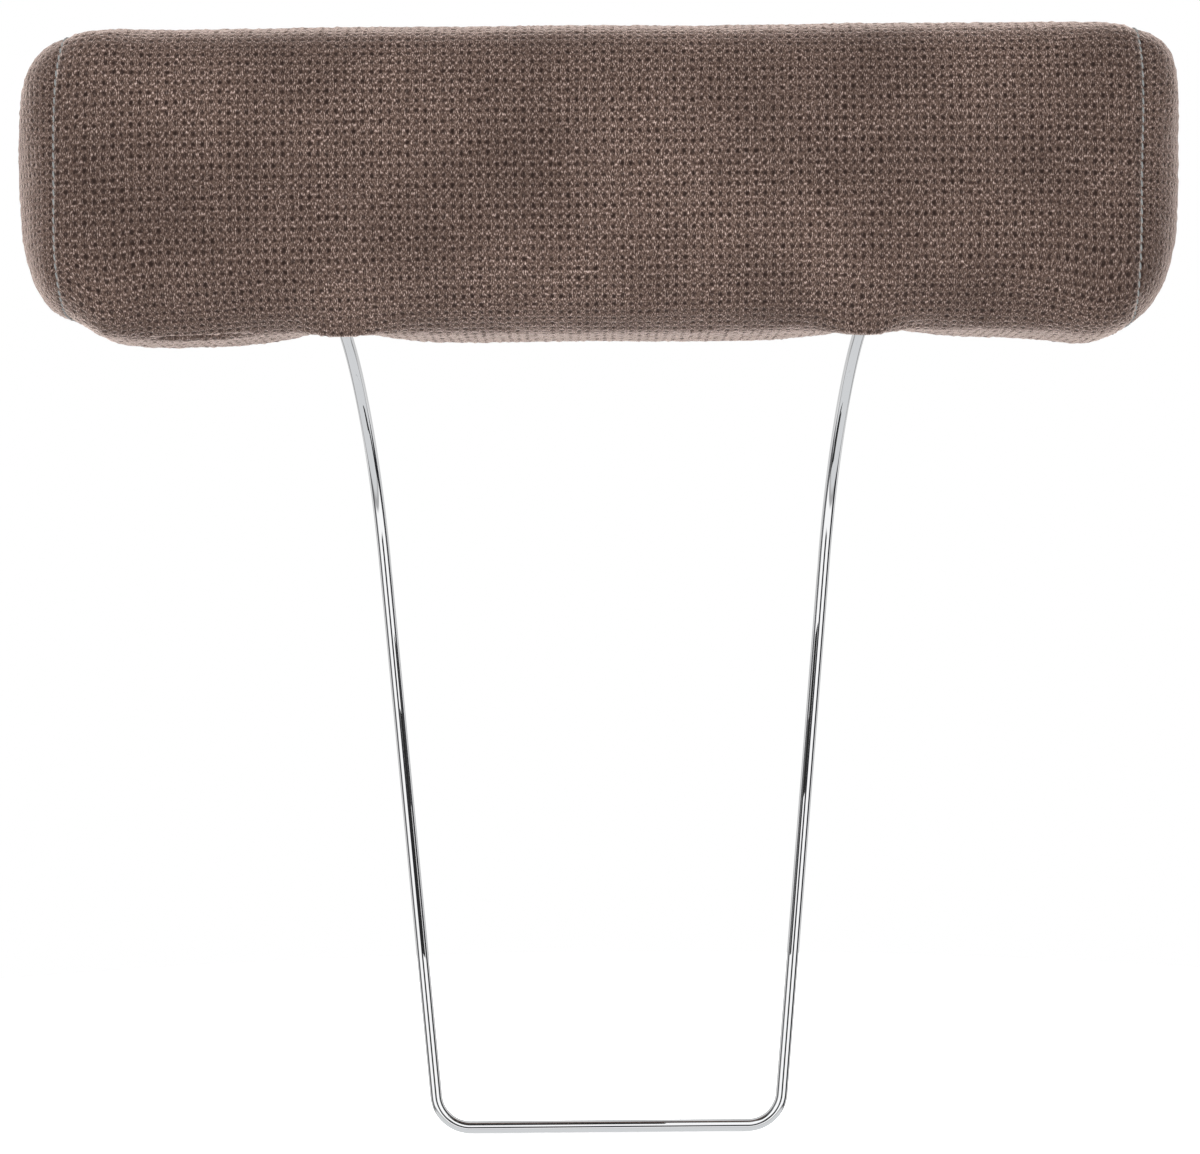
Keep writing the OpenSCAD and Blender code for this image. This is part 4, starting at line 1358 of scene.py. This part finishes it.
@dataclass
class Zip:
    """The coil zip low on the back: two tapes, a toothed chain, end stops, a slider and its pull."""

    zip_z: float = 0.422392
    tape_out: float = 0.00146
    tape_half: float = 0.2245
    tape_t: float = 0.0006
    tape_near: float = 0.00003
    tape_far: float = 0.013
    chain_half: float = 0.212
    chain_t: float = 0.002
    tooth_pitch: float = 0.0016
    tooth: Triple = (0.00042, 0.00098, 0.0017)
    tooth_off: float = 0.00075
    tooth_lean: float = 8.0
    stop_x: Pair = (0.21205, 0.215)
    stop_out: Pair = (0.00002, 0.0024)
    stop_half: float = 0.0025
    slider_x: float = 0.2067
    plate_half: Pair = (0.005, 0.0038)
    plate_y: Pair = (0.00376, 0.00526)
    plate_taper: float = 0.86
    flange_x: Pair = (-0.0042, 0.0048)
    flange_y: Pair = (0.00176, 0.00416)
    flange_z: Pair = (0.0028, 0.0038)
    post_half: float = 0.00158
    post_y: Pair = (0.00506, 0.00784)
    post_z: Pair = (0.0019, 0.0031)
    pin_y: float = 0.00713584
    pin_r: float = 0.0007
    pin_l: float = 0.0046
    eye_r: Pair = (0.00079, 0.00156)
    eye_half: float = 0.0016
    neck_x: Pair = (-0.0055, -0.0012)
    neck_half: Pair = (0.0006, 0.0015)
    tab_x: Pair = (-0.026, -0.0045)
    tab_half: Pair = (0.00065, 0.003)
    tab_taper: float = 1.33
    field_rim: float = 0.0012
    field_deep: float = 0.0003

    @staticmethod
    def block(bm: bmesh.types.BMesh, ranges: tuple[Pair, Pair, Pair], edge: float, taper: float = 1.0) -> None:
        """Adds a block with rounded edges.

        Args:
            bm: The mesh that it is added to.
            ranges: Its two ends along X, Y and Z.
            edge: The rounding of its edges.
            taper: Height of its left end as a share of its right end's.
        """
        low, high = (Vector(corner) for corner in zip(*(sorted(ends) for ends in ranges)))
        made = bmesh.ops.create_cube(bm, size=1.0)["verts"]
        bmesh.ops.scale(bm, verts=made, vec=high - low)
        left = [v for v in made if v.co.x < 0]
        bmesh.ops.scale(bm, verts=left, vec=(1.0, 1.0, taper))
        bmesh.ops.translate(bm, verts=made, vec=(high + low) / 2)
        soften(bm, list({e for v in made for e in v.link_edges}), edge)

    @staticmethod
    def near(middle: float, ends: Pair | float, side: int = 1) -> Pair:
        """Gives a range about a middle.

        Args:
            middle: The middle.
            ends: Both ends measured from the middle, or the half width of a range to both sides.
            side: 1 for the ends as they are, -1 for their mirror image.

        Returns:
            The range's two ends.
        """
        first, last = ends if isinstance(ends, tuple) else (-ends, ends)
        return middle + side * first, middle + side * last

    def tape(self, name: str, side: int) -> None:
        """Lays one woven tape beside the chain.

        Args:
            name: The CAD node that it stands for.
            side: 1 above the chain, -1 below it.
        """
        bm = bmesh.new()
        deep = (self.tape_out - self.tape_t, self.tape_out)
        tall = self.near(self.zip_z, (self.tape_near, self.tape_far), side)
        self.block(bm, (self.near(0.0, self.tape_half), deep, tall), 0.0002)
        add_piece(name + "_woven", bm, "cushion", "zip_tape", name, False)

    def chain(self) -> None:
        """Sets the coil's teeth, one row above and one below in turn."""
        bm = bmesh.new()
        for side, shift in ((1, 1.0), (-1, 0.5)):
            x = -self.chain_half + shift * self.tooth_pitch
            frame = Matrix.Translation((x, self.tape_out + self.chain_t * 0.5, self.zip_z + side * self.tooth_off))
            lean = Matrix.Rotation(math.radians(self.tooth_lean * side), 4, "Y")
            size = Matrix.Diagonal((*self.tooth, 1.0))
            bmesh.ops.create_uvsphere(bm, u_segments=8, v_segments=6, radius=1.0, matrix=frame @ lean @ size)
        piece = add_piece("zip_coil_teeth", bm, "cushion", "zip_plastic", "zip_coil")
        row = piece.modifiers.new("row", "ARRAY")
        row.count = round(2 * self.chain_half / self.tooth_pitch) - 1
        row.use_relative_offset, row.use_constant_offset = False, True
        row.constant_offset_displace = (self.tooth_pitch, 0.0, 0.0)

    def stops(self) -> None:
        """Crimps one stop at each end of the chain."""
        bm = bmesh.new()
        deep, tall = self.near(self.tape_out, self.stop_out), self.near(self.zip_z, self.stop_half)
        for side in Side:
            self.block(bm, (self.near(0.0, self.stop_x, side.value), deep, tall), 0.0006)
        add_piece("zip_end_stops", bm, "cushion", "zip_metal", "zip_stops")

    def slider(self) -> None:
        """Shapes the slider: a tapered plate, two flanges and two posts with the pull's pin."""
        bm = bmesh.new()
        x, z = self.slider_x, self.zip_z
        long, tall = (self.near(m, half) for m, half in zip((x, z), self.plate_half))
        self.block(bm, (long, self.plate_y, tall), 0.0005, self.plate_taper)
        for side in (1, -1):
            flange = (self.near(x, self.flange_x), self.flange_y, self.near(z, self.flange_z, side))
            self.block(bm, flange, 0.0003)
            post = (self.near(x, self.post_half), self.post_y, self.near(z, self.post_z, side))
            self.block(bm, post, 0.0004)
        pin = Matrix.Translation((x, self.pin_y, z))
        round_pin = {"radius1": self.pin_r, "radius2": self.pin_r, "depth": self.pin_l}
        bmesh.ops.create_cone(bm, cap_ends=True, segments=24, matrix=pin, **round_pin)
        add_piece("zip_slider_body", bm, "slider", "zip_metal", "zip_slider")

    def pull(self) -> None:
        """Shapes the pull: an eye round the slider's pin, a neck and a tapered tab with a sunk field."""
        bm = bmesh.new()
        x, y, z = self.slider_x, self.pin_y, self.zip_z
        (hole, rim), tall = self.eye_r, self.eye_half
        ring = ((hole, -tall), (rim, -tall), (rim, tall), (hole, tall))
        loop = [bm.verts.new((x + out, y, z + up)) for out, up in ring]
        profile = loop + [bm.edges.new((loop[k - 1], loop[k])) for k in range(4)]
        bmesh.ops.spin(bm, geom=profile, cent=(x, y, z), axis=(0, 0, 1), angle=2 * math.pi, steps=28, use_merge=True)
        bmesh.ops.recalc_face_normals(bm, faces=bm.faces)
        neck = (self.near(x, self.neck_x), *(self.near(m, half) for m, half in zip((y, z), self.neck_half)))
        self.block(bm, neck, 0.0003)
        before = set(bm.faces)
        tab = (self.near(x, self.tab_x), *(self.near(m, half) for m, half in zip((y, z), self.tab_half)))
        self.block(bm, tab, 0.0004, self.tab_taper)
        broad = [f for f in bm.faces if f not in before and abs(f.normal.y) > 0.99 and f.calc_area() > 0.00004]
        bmesh.ops.inset_individual(bm, faces=broad, thickness=self.field_rim, depth=0.0)
        bmesh.ops.inset_individual(bm, faces=broad, thickness=self.field_deep, depth=-self.field_deep)
        add_piece("zip_pull_tab", bm, "pull", "zip_metal", "zip_pull", False)

    def build(self) -> None:
        """Makes the whole zip."""
        self.tape("upper_zip_tape", 1)
        self.tape("lower_zip_tape", -1)
        self.chain()
        self.stops()
        self.slider()
        self.pull()


@dataclass(frozen=True)
class Card:
    """An upright grey card that only shows in the bright rod.

    Its place is given across and in depth, its heights are those of its lower and upper edge, and its grey is in
    linear light.
    """

    name: str
    at: Pair
    half: float
    heights: Pair
    grey: float

    def hang(self) -> None:
        """Hangs the card."""
        low, high = self.heights
        bm = bmesh.new()
        bmesh.ops.create_grid(bm, x_segments=1, y_segments=1, size=1.0)
        bmesh.ops.scale(bm, verts=bm.verts, vec=(self.half, (high - low) / 2, 1.0))
        bmesh.ops.rotate(bm, verts=bm.verts, matrix=Matrix.Rotation(math.radians(90), 3, "X"))
        bmesh.ops.translate(bm, verts=bm.verts, vec=(*self.at, (low + high) / 2))
        card = new_object(self.name, mesh_from(self.name, bm))
        made, bench = bare_material(self.name + "_grey")
        glow = bench.add("ShaderNodeEmission", {"Color": (self.grey, self.grey, self.grey, 1.0)})
        bench.add("ShaderNodeOutputMaterial", {"Surface": glow.outputs[0]})
        card.data.materials.append(made)
        card.visible_camera = card.visible_diffuse = card.visible_shadow = card.visible_transmission = False


@dataclass(frozen=True)
class Lamp:
    """A square soft box, with its place, its width and its power in watts."""

    name: str
    at: Triple
    size: float
    power: float

    def hang(self, target: Vector) -> None:
        """Hangs the lamp, hidden from the camera and from bright metal.

        Args:
            target: The place that it is aimed at.
        """
        light = bpy.data.lights.new(self.name, "AREA")
        light.shape = "SQUARE"
        light.size = self.size
        light.energy = self.power
        lamp = new_object(self.name, light)
        lamp.location = self.at
        lamp.rotation_euler = (target - Vector(self.at)).to_track_quat("-Z", "Y").to_euler()
        lamp.visible_camera = lamp.visible_glossy = False


CARDS = (
    Card("left_flag", (-0.024, -0.09), 0.054, (0.078, 0.206), 0.025),
    Card("right_flag", (0.024, -0.09), 0.054, (0.16, 0.249), 0.025),
    Card("back_card", (0.0, 0.12), 0.35, (0.285, 0.46), 0.62),
)
LAMPS = (
    Lamp("key_left", (-1.1, -1.5, 1.3), 1.1, 10.0),
    Lamp("fill_right", (1.4, -1.5, 0.4), 1.1, 3.5),
    Lamp("low_front", (0.0, -1.3, 0.04), 0.9, 10.5),
    Lamp("top", (0.0, -0.1, 1.9), 0.9, 8.0),
    Lamp("rim_left", (-1.5, 0.35, 0.6), 0.8, 9.0),
    Lamp("rim_right", (1.5, 0.35, 0.6), 0.8, 4.0),
    Lamp("rim_top", (-0.1, 0.9, 1.5), 0.8, 21.0),
)


@dataclass
class Studio:
    """Pale floor, soft light and the camera of the photograph.

    The room is drawn for bright metal alone. Its ranges are parts of the direction that is looked in: X to the
    right, Y to the back and Z up.
    """

    floor_z: float = -0.0034
    floor_r: float = 0.75
    floor_grey: float = 0.8
    floor_glow: float = 0.55
    lamp_target: Triple = (0.0, -0.03, 0.36)
    camera_at: Triple = (-0.0023, -1.5597, 0.2713)
    lens: float = 94.7
    roll: float = -0.48
    gap_y: tuple[Pair, Pair] = ((-0.5, -0.4), (0.26, 0.14))
    gap_x: Pair = (-0.2, 0.2)
    gap_left: float = 0.9
    edge_y: tuple[Pair, Pair] = ((0.58, 0.64), (0.82, 0.76))
    edge_share: float = 0.75
    stand_x: Pair = (0.27, 0.2)
    stand_y: Pair = (-0.8, -0.95)
    stand_z: Pair = (0.24, 0.18)
    ground_z: Pair = (-0.5, -0.58)
    skirting_z: Pair = (-0.4, -0.45)
    skirting_share: float = 0.6
    wall_y: Pair = (0.0, 0.4)
    wall_back: float = 0.76
    ground_grey: Colour = (0.66, 0.67, 0.68, 1.0)
    gap_grey: Colour = (0.02, 0.02, 0.024, 1.0)
    fill_grey: Colour = (0.62, 0.62, 0.63, 1.0)
    white: Colour = (1.0, 1.0, 1.0, 1.0)

    def floor(self) -> None:
        """Lays a white floor that keeps the object's shadow."""
        bm = bmesh.new()
        bmesh.ops.create_circle(bm, cap_ends=True, segments=96, radius=self.floor_r)
        bmesh.ops.translate(bm, verts=bm.verts, vec=(0.0, 0.0, self.floor_z))
        floor = new_object("floor", mesh_from("floor", bm))
        made, bench = bare_material("floor_white")
        matt = bench.add("ShaderNodeBsdfDiffuse", {"Color": (self.floor_grey, self.floor_grey, self.floor_grey, 1.0)})
        seen = bench.add("ShaderNodeLightPath").outputs["Is Camera Ray"]
        glow = bench.add("ShaderNodeEmission", {"Strength": bench.times(seen, self.floor_glow)})
        both = bench.add("ShaderNodeAddShader", {0: matt.outputs[0], 1: glow.outputs[0]})
        bench.add("ShaderNodeOutputMaterial", {"Surface": both.outputs[0]})
        floor.data.materials.append(made)
        floor.visible_glossy = False

    def room(self, bench: ShaderBench) -> Socket:
        """Draws a white room with dark gaps, a dark stand and a grey ground.

        Args:
            bench: The world's node bench.

        Returns:
            The room's colour.
        """
        x, y, z = bench.split(bench.add("ShaderNodeTexCoord").outputs["Generated"])
        gap = bench.math("ADD", bench.band(y, *self.gap_y), bench.times(bench.band(y, *self.edge_y), self.edge_share))
        gap = bench.times(gap, bench.span(x, *self.gap_x, self.gap_left, 1.0))
        stand = bench.times(bench.span(bench.math("ABSOLUTE", x), *self.stand_x), bench.span(y, *self.stand_y))
        stand = bench.times(stand, bench.span(bench.math("ABSOLUTE", z), *self.stand_z))
        below = bench.span(z, *self.ground_z)
        dark = bench.times(bench.math("MAXIMUM", gap, stand), bench.span(below, 1.0, 0.0))
        skirting = bench.span(below, 1.0, 0.0, 0.0, self.skirting_share)
        skirting = bench.times(bench.span(z, *self.skirting_z), skirting)
        wall = bench.blend(below, bench.span(y, *self.wall_y, 1.0, self.wall_back), self.ground_grey)
        return bench.blend(bench.math("MAXIMUM", dark, skirting), wall, self.gap_grey)

    def world(self) -> None:
        """Hangs the room for bright metal, even grey light for all else and white behind the object."""
        world = bpy.data.worlds.new("studio")
        world.use_nodes = True
        bpy.context.scene.world = world
        world.node_tree.nodes.clear()
        bench = ShaderBench(world.node_tree)
        rays = bench.add("ShaderNodeLightPath")
        shown = bench.math("MAXIMUM", rays.outputs["Is Camera Ray"], rays.outputs["Is Transmission Ray"])
        level = bench.blend(rays.outputs["Is Glossy Ray"], self.fill_grey, self.room(bench))
        colour = bench.blend(shown, level, self.white)
        sky = bench.add("ShaderNodeBackground", {"Color": colour, "Strength": 1.0})
        bench.add("ShaderNodeOutputWorld", {"Surface": sky.outputs[0]})

    def camera(self) -> None:
        """Places the camera as the photograph was taken."""
        data = bpy.data.cameras.new("camera")
        data.lens = self.lens
        data.sensor_width = 36.0
        camera = new_object("camera", data)
        camera.matrix_world = (
            Matrix.Translation(self.camera_at)
            @ Matrix.Rotation(math.radians(90), 4, "X")
            @ Matrix.Rotation(math.radians(self.roll), 4, "Z")
        )
        bpy.context.scene.camera = camera

    def build(self) -> None:
        """Sets up the whole studio."""
        bpy.context.scene.view_settings.view_transform = "Standard"
        self.floor()
        for card in CARDS:
            card.hang()
        self.world()
        for lamp in LAMPS:
            lamp.hang(Vector(self.lamp_target))
        self.camera()


def dress_cad(frame: dict) -> None:
    """Gives every CAD node the finish of its material slot.
    """
    for part in frame["record"]["subparts"]:
        SLOT_FINISHES[part["material_slot"]].dress(frame["nodes"][part["node"]])


def main() -> None:
    """Loads the frame, builds every piece in order and sets up the studio."""
    logging.basicConfig(level=logging.INFO, format="%(name)s: %(message)s")
    for thing in list(bpy.data.objects):
        bpy.data.objects.remove(thing)
    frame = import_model()
    dress_cad(frame)
    cover = Cover(CushionForm())
    sewn = cover.build()
    Filling(cover).build(sewn, frame["nodes"])
    sewn.free()
    Zip().build()
    WireBow().build()
    Studio().build()


if __name__ == "__main__":
    main()
